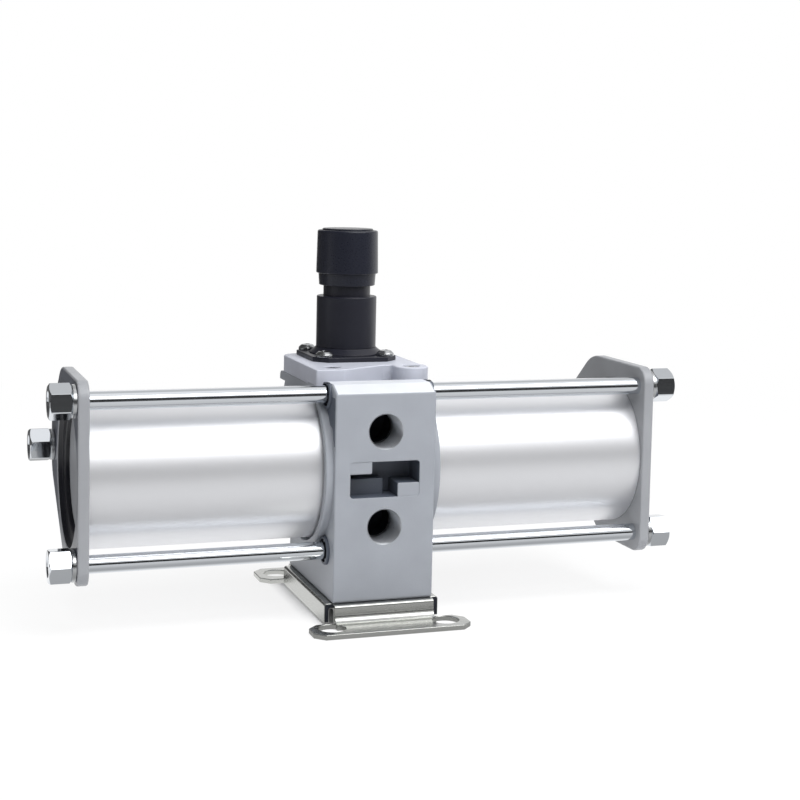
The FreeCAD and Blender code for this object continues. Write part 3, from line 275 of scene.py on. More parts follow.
def cast_grey(name, colour, rough=0.42):
    """Die-cast aluminium under grey paint: faint clouds of tone some centimetres wide, fine orange peel."""
    material, tree, shader = new_material(name, Roughness=rough, Metallic=0.0, IOR=1.5)
    dark = [c * 0.94 for c in colour[:3]] + [1.0]
    light = [min(c * 1.05, 1.0) for c in colour[:3]] + [1.0]
    vary(tree, shader.inputs["Base Color"], noise_pattern(tree, [0.05] * 3, 4.0), dark, light)
    roughen(tree, shader, noise_pattern(tree, [1.1] * 3, 3.0), 3e-5)
    return material


def metal(name, colour, rough, grain, depth, spread=0.06, metallic=1.0):
    """Bare or plated metal: a stretched noise for its grain, in bump and in roughness."""
    material, tree, shader = new_material(name, Base_Color=colour, Metallic=metallic)
    pattern = noise_pattern(tree, grain, 4.0)
    vary(tree, shader.inputs["Roughness"], pattern, rough - spread / 2, rough + spread / 2)
    roughen(tree, shader, pattern, depth)
    return material


def moulded(name, colour, rough, grit=2.5, depth=1e-5):
    """Moulded or anodised surface: fine eroded texture, slightly uneven gloss."""
    material, tree, shader = new_material(name, Base_Color=colour, Metallic=0.0, IOR=1.46)
    pattern = noise_pattern(tree, [grit] * 3, 3.0)
    vary(tree, shader.inputs["Roughness"], pattern, rough - 0.04, rough + 0.04)
    roughen(tree, shader, pattern, depth)
    return material


def make_materials(colours):
    """Every finish of the booster by the record's slot name, then those for single faces and pieces."""
    return {
        # Die-cast aluminium, sprayed grey: soft sheen, no mirror image.
        "cast_grey": cast_grey("painted_die_casting", colours.casting),
        # Honed and polished aluminium tube: streaks run along it, broad bright bands.
        "polished_tube": metal("polished_aluminium_tube", colours.tube, 0.41, (0.02, 1.6, 1.6), 3e-7,
                               spread=0.02, metallic=0.82),
        # Machined aluminium: fine turned grain across X, satin.
        "aluminium": metal("machined_aluminium", linear("c8cacc"), 0.32, (3.0, 0.3, 0.3), 1e-5),
        # Hard chrome on steel: nearly a mirror, faint polishing lines.
        "chrome": metal("hard_chromed_steel", colours.chrome, 0.07, (0.05, 2.0, 2.0), 2e-6, spread=0.03),
        # Bright zinc on steel: a little milky.
        "zinc_steel": metal("bright_zinc_plated_steel", linear("c4c6c8"), 0.24, (0.8, 0.8, 0.8), 6e-6),
        # Zinc plated and passivated sheet: warm tint, drawn streaks.
        "plated_sheet": metal("passivated_zinc_sheet", colours.sheet, 0.26, (0.04, 0.9, 0.9), 8e-7,
                              spread=0.04),
        # Free-cutting brass, turned: warm yellow with fine rings.
        "brass": metal("turned_brass", linear("b89a5a"), 0.3, (2.0, 0.3, 0.3), 1e-5),
        # Nitrile rubber: dull black.
        "rubber": moulded("nitrile_rubber", linear("141414"), 0.7),
        # Aluminium with black anodising: even satin, slightly blue.
        "black_metal": moulded("black_anodised_aluminium", colours.bonnet, 0.36, grit=3.0),
        # Acetal, injection moulded black: fine grit and a soft edge sheen.
        "black_plastic": moulded("moulded_black_acetal", colours.knob, 0.3, grit=2.0, depth=4e-6),
        # Filled acetal of the guide rings: dull ivory.
        "guide_plastic": moulded("ivory_acetal", linear("cfc8b0"), 0.45),
        # Governor block: the same painted casting, a lighter lilac grey.
        "block_grey": cast_grey("painted_block_casting", colours.block),
        # End covers: the same painted casting, glossier.
        "cover_grey": cast_grey("painted_cover_casting", colours.cover, 0.38),
        # Outer faces of the covers: painted shade, the cover paint darkened for the shade and the studio's
        # dark side that these glossy faces turn to.
        "cover_face_painted_shade": cast_grey("cover_outer_painted_shade", linear("565a64"), 0.28),
        # Dished recess of the covers: painted reflection, nearly black for the studio's dark side mirrored in
        # it, with a soft sheen on its slope.
        "dish_painted_reflection": moulded("dish_painted_dark_reflection", linear("14151c"), 0.3),
        # Shoulder and rib over the tie rods: painted highlight, the casting's paint made lighter for the top
        # light they catch, nearly white under the lamps.
        "top_band_painted_highlight": cast_grey("painted_highlight_casting", colours.band, 0.4),
        # Tapped ports, bare and turned: bright thread crests.
        "port_thread": metal("tapped_aluminium_port", linear("c2c5ca"), 0.3, (0.3, 3.0, 0.3), 1e-5,
                             metallic=0.85),
        # Painted shade: near black for the shade deep in the bores and counterbores and in the bracket's
        # hollow, where no light gets.
        "painted_shade_dark": moulded("bore_painted_shade", linear("1d2028"), 0.8),
        # Painted shade: dark slate for the shade on the pocket's walls, shelf and pad sides, on the coves
        # round the rods and on the rod bosses.
        "pocket_slate": cast_grey("shaded_casting_pocket", linear("4b515c"), 0.5),
    }


def rounded_loop(points, step=7.5):
    """Loop of 2-D points from (a, b, radius) corners: each corner is an arc about the point where the two
    inward offsets of its sides meet, sampled every few degrees."""
    count = len(points)
    out = []
    for i in range(count):
        corner = np.array(points[i][:2], float)
        to_prev = np.array(points[i - 1][:2], float) - corner
        to_next = np.array(points[(i + 1) % count][:2], float) - corner
        to_prev /= np.linalg.norm(to_prev)
        to_next /= np.linalg.norm(to_next)
        r = points[i][2]
        if r <= 0:
            out.append(corner[None, :])
            continue
        half = math.acos(float(np.clip(to_prev @ to_next, -1, 1))) / 2
        reach = r / math.tan(half)
        bisector = to_prev + to_next
        bisector /= np.linalg.norm(bisector)
        centre = corner + bisector * r / math.sin(half)
        a = (corner + to_prev * reach - centre) / r
        b = (corner + to_next * reach - centre) / r
        total = math.acos(float(np.clip(a @ b, -1, 1)))
        n = max(2, int(math.ceil(math.degrees(total) / step)))
        t = np.linspace(0, 1, n + 1)[:, None]
        arc = (np.sin((1 - t) * total) * a + np.sin(t * total) * b) / math.sin(total)
        out.append(centre + r * arc)
    return np.vstack(out)


def rectangle(a0, a1, b0, b1, r):
    """Loop of a rectangle with one corner radius."""
    return rounded_loop([(a0, b0, r), (a1, b0, r), (a1, b1, r), (a0, b1, r)])


def cut_rectangle(a0, a1, b0, b1, cut):
    """Loop of a rectangle with its corners cut at 45 degrees and slightly rounded."""
    corners = ((a0 + cut, b0), (a1 - cut, b0), (a1, b0 + cut), (a1, b1 - cut),
               (a1 - cut, b1), (a0 + cut, b1), (a0, b1 - cut), (a0, b0 + cut))
    return rounded_loop([(a, b, 0.8) for a, b in corners])


def circle_loop(a, b, r, n=64):
    """n points about (a, b); the radius is one number or one for each point."""
    t = np.linspace(0, 2 * math.pi, n, endpoint=False)
    return np.stack([a + r * np.cos(t), b + r * np.sin(t)], 1)


def hexagon_radius(flat, n, turn=0.0):
    """Radius of a hexagon at n angles: the flat's distance over cos of the angle from the nearest flat's
    middle."""
    swing = (np.linspace(0, 360, n, endpoint=False) - turn + 30) % 60 - 30
    return flat / np.cos(np.radians(swing))


def offset_loop(loop, distance):
    """Loop moved outwards by a distance along its mitre directions, for a loop in either sense."""
    before = loop - np.roll(loop, 1, 0)
    after = np.roll(loop, -1, 0) - loop
    before /= np.maximum(np.linalg.norm(before, axis=1, keepdims=True), 1e-12)
    after /= np.maximum(np.linalg.norm(after, axis=1, keepdims=True), 1e-12)
    n1 = np.stack([before[:, 1], -before[:, 0]], 1)
    n2 = np.stack([after[:, 1], -after[:, 0]], 1)
    mitre = (n1 + n2) / (1 + np.sum(n1 * n2, 1, keepdims=True))
    area = np.sum(loop[:, 0] * np.roll(loop[:, 1], -1) - np.roll(loop[:, 0], -1) * loop[:, 1])
    return loop + mitre * distance * (1 if area > 0 else -1)


def lift(loop, c, axis):
    """2-D loop put in space at c along an axis; c is one number or one for each point."""
    c = np.full(len(loop), c, float)
    order = {"x": (c, loop[:, 0], loop[:, 1]), "y": (loop[:, 0], c, loop[:, 1]),
             "z": (loop[:, 0], loop[:, 1], c)}[axis]
    return np.stack(order, 1)


def rounded_edge(loop, bevel, start, way, axis):
    """Four loops from a flat face at start out to the full outline: inset bevel (1 - sin t) at depth
    bevel (1 - cos t), a quarter circle; way is the sense of the depth."""
    return [lift(offset_loop(loop, -bevel * (1 - math.sin(t))), start + way * bevel * (1 - math.cos(t)), axis)
            for t in np.linspace(0, math.pi / 2, 4)]


def soft_profile(points, step=10.0):
    """Open profile from (s, r, corner radius) points with its corners rounded."""
    out = [np.array([points[0][:2]], float)]
    for i in range(1, len(points) - 1):
        if points[i][2] <= 0:
            out.append(np.array([points[i][:2]], float))
            continue
        trio = [points[i - 1][:2] + (0,), points[i], points[i + 1][:2] + (0,)]
        out.append(rounded_loop(trio, step)[1:-1])
    out.append(np.array([points[-1][:2]], float))
    return np.vstack(out)


class Shell:
    """Closed surface put together from rings of points and flat caps, in millimetres. Faces take the finish
    whose number is marked when they are added."""

    def __init__(self):
        """Starts without points or faces."""
        self.points = []
        self.faces = []
        self.marks = []
        self.count = 0
        self.mark = 0

    def add(self, points, faces):
        """Adds points and the faces between them."""
        self.points.append(points)
        self.faces += (np.array(faces) + self.count).tolist()
        self.marks += [self.mark] * len(faces)
        self.count += len(points)

    def rings(self, loops, closed=False, columns=None):
        """Quads between following loops of equal length, each closed on itself, in some columns or in all."""
        loops = np.array(loops, float)
        m, n = loops.shape[:2]
        rows = np.arange(m if closed else m - 1)[:, None]
        cols = np.arange(n) if columns is None else columns
        a = rows * n + cols
        b = rows * n + (cols + 1) % n
        c = ((rows + 1) % m) * n + (cols + 1) % n
        d = ((rows + 1) % m) * n + cols
        self.add(loops.reshape(-1, 3), np.stack([a, b, c, d], -1).reshape(-1, 4))

    def cap(self, outer, holes=()):
        """Flat face inside a loop, with holes."""
        loops = [outer] + list(holes)
        triangles = tessellate_polygon([[Vector(p) for p in loop] for loop in loops])
        self.add(np.vstack(loops), triangles)

    def plate(self, loop, c0, c1, axis, bevel, holes=(), low=None):
        """Plate between c0 and c1 with rounded edges, the one at c0 of the radius low where it is given.
        A hole is (loop, depth from c1 or None for right through), with a small chamfer."""
        way = 1 if c1 > c0 else -1
        rings = rounded_edge(loop, bevel if low is None else low, c0, way, axis)
        rings += rounded_edge(loop, bevel, c1, -way, axis)[::-1]
        self.rings(rings)
        edge = min(bevel, 0.3)
        top_holes, low_holes = [], []
        for hole, deep in holes:
            wide = offset_loop(hole, edge)
            top_holes.append(lift(wide, c1, axis))
            wall = [lift(wide, c1, axis), lift(hole, c1 - way * edge, axis)]
            if deep is None:
                low_holes.append(lift(wide, c0, axis))
                self.rings(wall + [lift(hole, c0 + way * edge, axis), lift(wide, c0, axis)])
            else:
                bottom = lift(hole, c1 - way * deep, axis)
                self.rings(wall + [bottom])
                self.cap(bottom)
        self.cap(rings[0], low_holes)
        self.cap(rings[-1], top_holes)

    def turned(self, profile, axis, centre, n=96, closed=False):
        """Surface of revolution: each (s, radius) point of the profile becomes a circle about the axis."""
        self.rings([lift(circle_loop(*centre, r, n), s, axis) for s, r in profile], closed)


def build_piece(replaced, shell, finishes, name=None, body="body", sharp=32.0, mirror=False):
    """Turns a shell into an object: welds it, points its faces outwards, smooths it up to an angle, gives it
    its finishes and its body, and hides the solid that it stands for, most often its namesake."""
    name = (name or replaced) + "_skin"
    points = np.vstack(shell.points) * MM
    if mirror:
        points[:, 0] *= -1
    mesh = bpy.data.meshes.new(name)
    mesh.from_pydata(points.tolist(), [], shell.faces)
    mesh.polygons.foreach_set("material_index", np.array(shell.marks, dtype=np.int32))
    work = bmesh.new()
    work.from_mesh(mesh)
    bmesh.ops.remove_doubles(work, verts=work.verts, dist=2e-6)
    bmesh.ops.dissolve_degenerate(work, edges=work.edges, dist=1e-6)
    bmesh.ops.recalc_face_normals(work, faces=work.faces)
    work.to_mesh(mesh)
    work.free()
    mesh.shade_smooth()
    mesh.set_sharp_from_angle(angle=math.radians(sharp))
    piece = bpy.data.objects.new(name, mesh)
    bpy.context.scene.collection.objects.link(piece)
    for finish in finishes:
        mesh.materials.append(BANK[finish])
    weight = piece.modifiers.new("weighted_normals", "WEIGHTED_NORMAL")
    weight.keep_sharp = True
    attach(piece, body)
    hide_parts(replaced)


BANK = {}


class BoosterSizes(bpy.types.PropertyGroup):
    """Sizes of the visible surfaces."""
    tube_radius: FloatProperty(name="Tube radius", description="Outside radius of both tubes",
                               default=0.035, unit="LENGTH")
    collar_radius: FloatProperty(name="Collar radius", description="Radius of the body's round collars",
                                 default=0.040, unit="LENGTH")
    dish_radius: FloatProperty(name="Dish radius", description="Radius of the recess in the end covers",
                               default=0.034, unit="LENGTH")
    rod_radius: FloatProperty(name="Rod radius", description="Radius of the tie rods",
                              default=0.004, unit="LENGTH")
    port_radius: FloatProperty(name="Port radius", description="Radius of the threaded ports",
                               default=0.0075, unit="LENGTH")
    port_pitch: FloatProperty(name="Port thread pitch", description="Distance between thread crests",
                              default=0.00134, unit="LENGTH")
    bonnet_radius: FloatProperty(name="Bonnet radius", description="Radius of the governor bonnet",
                                 default=0.0143, unit="LENGTH")
    knob_radius: FloatProperty(name="Knob radius", description="Radius of the knob's grip",
                               default=0.0148, unit="LENGTH")
    edge: FloatProperty(name="Edge radius", description="Rounding of the casting's edges",
                        default=0.0009, unit="LENGTH")


class BoosterColours(bpy.types.PropertyGroup):
    """Colours of the visible finishes."""
    casting: FloatVectorProperty(name="Casting", description="Painted centre body",
                                 size=4, subtype="COLOR", default=linear("8f939a"))
    block: FloatVectorProperty(name="Block", description="Painted governor block",
                               size=4, subtype="COLOR", default=linear("b0b3be"))
    cover: FloatVectorProperty(name="Cover", description="Painted end covers",
                               size=4, subtype="COLOR", default=linear("8e9094"))
    # Painted highlight: the shoulder's lighter paint stands in for the top light that it catches.
    band: FloatVectorProperty(name="Top band", description="Bright shoulder of the body",
                              size=4, subtype="COLOR", default=linear("c6c9cf"))
    tube: FloatVectorProperty(name="Tube", description="Polished aluminium",
                              size=4, subtype="COLOR", default=linear("f0f1f4"))
    chrome: FloatVectorProperty(name="Chrome", description="Chromed rods and nuts",
                                size=4, subtype="COLOR", default=linear("dfe3e8"))
    sheet: FloatVectorProperty(name="Sheet", description="Plated bracket",
                               size=4, subtype="COLOR", default=linear("bfc0bd"))
    bonnet: FloatVectorProperty(name="Bonnet", description="Black bonnet and flange",
                                size=4, subtype="COLOR", default=linear("1c1d26"))
    knob: FloatVectorProperty(name="Knob", description="Black knob",
                              size=4, subtype="COLOR", default=linear("1b1d27"))


class BoosterStage(bpy.types.PropertyGroup):
    """Floor, lamps and camera."""
    floor_colour: FloatVectorProperty(name="Floor", description="Colour of the floor", size=4,
                                      subtype="COLOR", default=(0.93, 0.93, 0.94, 1.0))
    lens: FloatProperty(name="Lens", description="Focal length of the camera", default=72.3, unit="CAMERA")
    world_level: FloatProperty(name="World light", description="Strength of the studio walls", default=0.85,
                               min=0.0, max=2.0, subtype="FACTOR")


def prop(group):
    """Property group of the scene by name."""
    return getattr(bpy.context.scene, "booster_" + group)


def size(name):
    """One size in millimetres."""
    return getattr(prop("sizes"), name) / MM


class BOOSTER_OT_finishes(bpy.types.Operator):
    """Gives every solid that stays visible its finish"""
    bl_idname = "booster.finishes"
    bl_label = "Finishes of the solids"

    def execute(self, context):
        """Assigns a finish to each solid by its record slot."""
        BANK.update(make_materials(prop("colours")))
        for part in frame["record"]["subparts"]:
            node = frame["nodes"][part["node"]]
            node.data.materials.clear()
            node.data.materials.append(BANK[part["material_slot"]])
        return {"FINISHED"}


def body_outline():
    """Corners of the centre body seen from the side, in Y and Z: sloped shoulder, rib over the tie rods,
    ledge and deck under the governor block, rear boss."""
    return [(BODY_FRONT, BODY_LOW, 1.5), (BODY_FRONT, DECK, 1.4), (RIB_FRONT, RIB_TOP, 2.5),
            (RIB_BACK, RIB_TOP, 1.25), (-19.4, LEDGE, 0.4), (BLOCK_FRONT, LEDGE, 0), (BLOCK_FRONT, DECK, 0),
            (46, DECK, 3), (BODY_REAR, 84, 8), (BODY_REAR, 58.5, 8), (BODY_BACK, 40.5, 8),
            (BODY_BACK, BODY_LOW, 1.5)]


class BOOSTER_OT_centre_body(bpy.types.Operator):
    """Cast centre body with its ports, pocket, collars and rod bosses"""
    bl_idname = "booster.centre_body"
    bl_label = "Centre body"
    finishes = ("cast_grey", "painted_shade_dark", "port_thread", "top_band_painted_highlight", "pocket_slate")
    # The fourth mark is the shoulder's painted highlight; the second and the fifth are painted shade in
    # hollows and coves.
    cast, bore, thread, band, slate = range(5)

    def execute(self, context):
        """Side outline carried along X with rounded edges: the shoulder and the rib are marked as the band of
        painted highlight, and the flat front strip is left open for its own face. Each side is open inside
        the collar."""
        shell = Shell()
        loop = rounded_loop(body_outline())
        left = rounded_edge(loop, size("edge"), -BODY_HALF, 1, "x")
        right = rounded_edge(loop, size("edge"), BODY_HALF, -1, "x")[::-1]
        shell.rings(left)
        shell.rings(right)
        follow = np.roll(loop, -1, 0)
        flat = np.maximum(np.abs(loop[:, 0] - BODY_FRONT), np.abs(follow[:, 0] - BODY_FRONT)) < 1e-6
        # Columns of the shoulder and rib, which take the painted highlight.
        bright = ((loop[:, 1] + follow[:, 1]) / 2 > DECK - 0.1) & (loop[:, 0] < RIB_BACK + 0.5)
        walls = [left[-1], right[0]]
        shell.rings(walls, columns=np.flatnonzero(~(flat | bright)))
        shell.mark = self.band
        shell.rings(walls, columns=np.flatnonzero(bright))
        shell.mark = self.cast
        for face, sign in ((left[0], -1), (right[-1], 1)):
            side, seat = BODY_HALF * sign, SEAT_X * sign
            shell.cap(face, [lift(circle_loop(*TUBE_AXIS, TUBE_INSIDE_R, 96), side, "x")])
            shell.turned([(side, TUBE_INSIDE_R), (seat, TUBE_INSIDE_R), (seat, 0)], "x", TUBE_AXIS)
        first = int(np.flatnonzero(flat)[0])
        last = (first + 1) % len(loop)
        corners = np.array([walls[0][first], walls[0][last], walls[1][last], walls[1][first]])
        holes = [self.port(shell, z) for z in PORTS_Z] + [self.pocket(shell)]
        shell.mark = self.cast
        shell.cap(corners, holes)
        self.pads(shell)
        for sign in (-1, 1):
            self.side(shell, sign)
        build_piece("center_body", shell, self.finishes)
        return {"FINISHED"}

    def port(self, shell, z):
        """Threaded wall of a port as rings a pitch apart, crest and root by turns, then its bore, dark with
        painted shade.
        Gives back the outline of the mouth."""
        r, pitch = size("port_radius"), size("port_pitch")
        mouth = lift(circle_loop(0, z, r + 0.65), BODY_FRONT, "y")
        rows = [mouth]
        for k in range(int(PORT_THREAD / pitch)):
            y = BODY_FRONT + 0.6 + k * pitch
            rows.append(lift(circle_loop(0, z, r + 0.1), y, "y"))
            rows.append(lift(circle_loop(0, z, r + 0.6), y + pitch / 2, "y"))
        rows.append(lift(circle_loop(0, z, r), PORT_WALL_END, "y"))
        bottom = lift(circle_loop(0, z, r), PORT_BOTTOM, "y")
        shell.mark = self.thread
        shell.rings(rows)
        # Depth of the port in painted shade.
        shell.mark = self.bore
        shell.rings([rows[-1], bottom])
        shell.cap(bottom)
        return mouth

    def pocket(self, shell):
        """Pocket between the ports, with a rounded rim and walls dark with painted shade. Gives back the
        outline of its rim.
        """
        opening = rectangle(-POCKET_HALF, POCKET_HALF, POCKET_LOW, POCKET_HIGH, 1.5)
        rim = lift(offset_loop(opening, 0.4), BODY_FRONT, "y")
        mouth, bottom = lift(opening, BODY_FRONT + 0.4, "y"), lift(opening, POCKET_FLOOR, "y")
        shell.mark = self.cast
        shell.rings([rim, lift(offset_loop(opening, 0.1), BODY_FRONT + 0.1, "y"), mouth])
        shell.mark = self.slate
        shell.rings([mouth, bottom])
        shell.cap(bottom)
        return rim

    def pads(self, shell):
        """Two pads nearly flush with the front, grey paint on their faces and painted shade on their sides,
        and a low shelf in painted shade.
        """
        side, low, high = POCKET_HALF + 0.2, POCKET_LOW - 0.2, POCKET_HIGH + 0.2
        for x0, x1, z0, z1, deep, finish in ((-side, -6.1, 67.8, high, 0.3, self.cast),
                                             (6.1, side, low, 63.2, 0.3, self.cast),
                                             (-side, 1.5, low, 64.3, 8.0, self.slate)):
            pad, face = rectangle(x0, x1, z0, z1, 0.6), BODY_FRONT + deep
            shell.mark = self.slate
            shell.plate(pad, POCKET_FLOOR + 0.1, face + 0.5, "y", 0.1)
            shell.mark = finish
            shell.plate(pad, face + 0.5, face, "y", 0.25, low=0.02)

    def side(self, shell, sign):
        """Round collar, upper pad, a thin plate of painted shade over the cove, and rod bosses on one side.
        """
        r, inner = size("collar_radius"), size("tube_radius") + COLLAR_GAP
        root, collar = SIDE_ROOT * sign, COLLAR_X * sign
        profile = soft_profile([(root, inner, 0), (collar, inner, 0.4), (collar, r, 0.8), (root, r, 0)])
        pad = rounded_loop([(-19, SIDE_PAD_LOW, 0), (BLOCK_BACK, SIDE_PAD_LOW, 0),
                            (BLOCK_BACK, DECK + 0.4, 3), (BLOCK_FRONT, DECK + 0.4, 0),
                            (BLOCK_FRONT, LEDGE, 0), (-19, LEDGE, 0)])
        cove = rounded_loop([(-38.1, 78, 0.5), (-34.5, 88, 2), (-17, 93, 2), (-17, 102, 1), (-38.1, 102, 1)])
        shell.mark = self.cast
        shell.turned(profile, "x", TUBE_AXIS, 160, closed=True)
        shell.plate(pad, root, SIDE_PAD_X * sign, "x", 0.15)
        shell.mark = self.slate
        shell.plate(cove, root + 0.3 * sign, COVE_X * sign, "x", 0.1)
        for y, z in ROD_SPOTS:
            self.boss(shell, y, z, sign)

    def boss(self, shell, y, z, sign):
        """Rod boss in painted shade with a counterbore dark with painted shade: a circle whose top is kept
        under the shoulder and the rib, so under DECK + SHOULDER_SLOPE (y - BODY_FRONT) and under RIB_TOP."""
        loop, hole = circle_loop(y, z, BOSS_R), circle_loop(y, z, COUNTERBORE_R, 48)
        if y < 0:
            roof = np.minimum(DECK + SHOULDER_SLOPE * (loop[:, 0] - BODY_FRONT), RIB_TOP)
            loop[:, 1] = np.minimum(loop[:, 1], roof)
        root, face, chamfer = SIDE_ROOT * sign, BOSS_X * sign, 0.4
        mouth, bottom = lift(hole, face, "x"), lift(hole, root + 0.1 * sign, "x")
        rows = [lift(loop, root, "x"), lift(loop, face - chamfer * sign, "x"),
                lift(offset_loop(loop, -chamfer), face, "x")]
        shell.mark = self.slate
        shell.rings(rows)
        shell.cap(rows[0])
        shell.cap(rows[-1], [mouth])
        shell.mark = self.bore
        shell.rings([mouth, bottom])
        shell.cap(bottom)


class BOOSTER_OT_tubes(bpy.types.Operator):
    """Two polished tubes"""
    bl_idname = "booster.tubes"
    bl_label = "Cylinder tubes"

    def execute(self, context):
        """Ring profile turned about the cylinder axis."""
        r = size("tube_radius")
        inner = r - TUBE_WALL
        profile = soft_profile([(TUBE_START, inner, 0), (TUBE_START, r, 0.3), (COVER_IN, r, 0.3),
                                (COVER_IN, inner, 0)])
        for word, sign in SIDES:
            shell = Shell()
            shell.turned(profile, "x", TUBE_AXIS, 256, closed=True)
            build_piece(word + "_cylinder_tube", shell, ["polished_tube"],
                        name=word + "_tube", mirror=sign < 0)
        return {"FINISHED"}


def cover_outline():
    """Corners of an end cover seen from the side, in Y and Z."""
    return [(COVER_FRONT, COVER_LOW, 8), (COVER_FRONT, COVER_HIGH, 8), (24, COVER_HIGH, 22),
            (BODY_REAR, 84, 14), (BODY_REAR, 58.5, 14), (9, COVER_LOW, 14)]


class BOOSTER_OT_covers(bpy.types.Operator):
    """Two end covers with their dished recess"""
    bl_idname = "booster.covers"
    bl_label = "End covers"
    finishes = ("cover_grey", "dish_painted_reflection", "cover_face_painted_shade")
    paint, dark, face = range(3)

    def execute(self, context):
        """Plate with a round hole in its outer face; the dish is a profile turned about the tube's axis."""
        dish = size("dish_radius")
        n = 160
        loop = rounded_loop(cover_outline(), 5.0)
        plate = rounded_edge(loop, COVER_BEVEL, COVER_IN, 1, "x")
        plate += rounded_edge(loop, COVER_BEVEL, COVER_OUT, -1, "x")[::-1]
        lip = COVER_OUT - 0.5
        rim = [(COVER_OUT, dish + 0.5), (COVER_OUT - 0.15, dish + 0.15), (lip, dish)]
        recess = soft_profile([(lip, dish, 0), (132.6, dish - 1.5, 0.8), (132.0, 29, 0.5), (131.6, 28.4, 0.3),
                               (DISH_FLOOR + 1, 27.5, 1.2), (DISH_FLOOR, 24, 1.0), (DISH_FLOOR, 0, 0)])
        spigot = soft_profile([(COVER_IN + 0.5, TUBE_INSIDE_R, 0), (SPIGOT_END, TUBE_INSIDE_R, 0.8),
                               (SPIGOT_END, 0, 0)])
        for word, sign in SIDES:
            shell = Shell()
            shell.rings(plate)
            shell.cap(plate[0])
            # Outer face in painted shade: darker paint for a face turned away from the lamps.
            shell.mark = self.face
            shell.cap(plate[-1], [lift(circle_loop(*TUBE_AXIS, dish + 0.5, n), COVER_OUT, "x")])
            shell.mark = self.paint
            shell.turned(rim, "x", TUBE_AXIS, n)
            # Dish in painted dark reflection: near black for the dark side of the studio that it would
            # mirror.
            shell.mark = self.dark
            shell.turned(recess, "x", TUBE_AXIS, n)
            shell.mark = self.paint
            shell.turned(spigot, "x", TUBE_AXIS)
            build_piece(word + "_end_cover", shell, self.finishes, name=word + "_cover",
                        mirror=sign < 0)
        return {"FINISHED"}


class BOOSTER_OT_rods(bpy.types.Operator):
    """Tie rods, their nuts and lock washers"""
    bl_idname = "booster.rods"
    bl_label = "Tie rods and nuts"

    def execute(self, context):
        """Rods and washers are turned profiles about each rod's axis."""
        r = size("rod_radius")
        rod = soft_profile([(ROD_START, 0, 0), (ROD_START, r, 0.3), (ROD_END, r, 0.7), (ROD_END, 0, 0)])
        seat, inner = COVER_OUT + 0.02, r + 0.3
        ring = soft_profile([(seat, inner, 0), (seat, WASHER_R, 0.4), (NUT_IN, WASHER_R, 0.4),
                             (NUT_IN, inner, 0)])
        for word, sign in SIDES:
            rods, nuts, washers = Shell(), Shell(), Shell()
            for spot, turn in zip(ROD_SPOTS, NUT_TURNS):
                rods.turned(rod, "x", spot, 64)
                self.nut(nuts, spot, turn, r)
                washers.turned(ring, "x", spot, 64, closed=True)
            for name, shell, slot in (("tie_rods", rods, "chrome"), ("tie_rod_nuts", nuts, "chrome"),
                                      ("lock_washers", washers, "zinc_steel")):
                build_piece(word + "_" + name, shell, [slot], mirror=sign < 0, sharp=28.0)
        return {"FINISHED"}

    def nut(self, shell, spot, turn, hole):
        """One hexagon nut between the washer and its outer end. Its chamfer falls back by the corner's reach
        past the round face times tan 30 degrees."""
        n = 192
        face = NUT_FLAT * NUT_FACE
        radius = np.minimum(hexagon_radius(NUT_FLAT, n, turn), NUT_FLAT * NUT_CORNER)
        back = np.maximum(radius - face, 0) * math.tan(math.radians(30)) + 0.1
        low, bore = np.minimum(radius, face), hole + 0.02
        rows = ((bore, NUT_IN), (low, NUT_IN), (radius, NUT_IN + back), (radius, NUT_OUT - back),
                (low, NUT_OUT), (hole + 0.7, NUT_OUT), (bore, NUT_OUT - 0.7))
        shell.rings([lift(circle_loop(*spot, r, n), x, "x") for r, x in rows], closed=True)


class BOOSTER_OT_block(bpy.types.Operator):
    """Governor block with its ears"""
    bl_idname = "booster.block"
    bl_label = "Governor block"

    def execute(self, context):
        """Top outline carried up from the ledge to the flange, with rounded edges: a wide ear at the left,
        a round one at the right. A second plate behind the ledge reaches nearly down to the deck."""
        shell = Shell()
        x, back = BLOCK_HALF, BLOCK_BACK
        outline = [(-x, back, 8), (-x, -19.5, 1.0), (-13.5, -19.3, 4), (8.5, -7, 4), (12.8, -7, 1.5),
                   (12.8, -19.8, 7.7), (28.4, -19.8, 7.7), (28.4, -8.5, 2.5), (x, -5.5, 2), (x, back, 8)]
        holes = [(circle_loop(*spot, SCREW_HOLE_R, 48), SCREW_HOLE_DEPTH) for spot in BLOCK_SCREWS]
        shell.plate(rounded_loop(outline, 6.0), LEDGE, BLOCK_TOP, "z", 0.6, holes, low=0.1)
        front = BLOCK_FRONT + 0.1
        rear = rounded_loop([(-x, front, 0.2), (x, front, 0.2), (x, back, 8), (-x, back, 8)])
        shell.plate(rear, DECK + 0.5, LEDGE, "z", 0.1)
        build_piece("governor_block", shell, ["block_grey"])
        self.cap_screws()
        return {"FINISHED"}

    def cap_screws(self):
        """Two cap screws sunk in the ears: a turned head with a six-sided socket."""
        shell = Shell()
        n = 48
        socket = hexagon_radius(SOCKET_FLAT, n)
        rows = ((3.55, 4.45), (3.55, 0.9), (3.3, 0.5), (1.9, 0.5), (socket, 0.6), (socket, 2.5))
        for spot in BLOCK_SCREWS:
            loops = [lift(circle_loop(*spot, r, n), BLOCK_TOP - depth, "z") for r, depth in rows]
            shell.rings(loops)
            shell.cap(loops[0])
            shell.cap(loops[-1])
        build_piece("block_screws", shell, ["zinc_steel"])


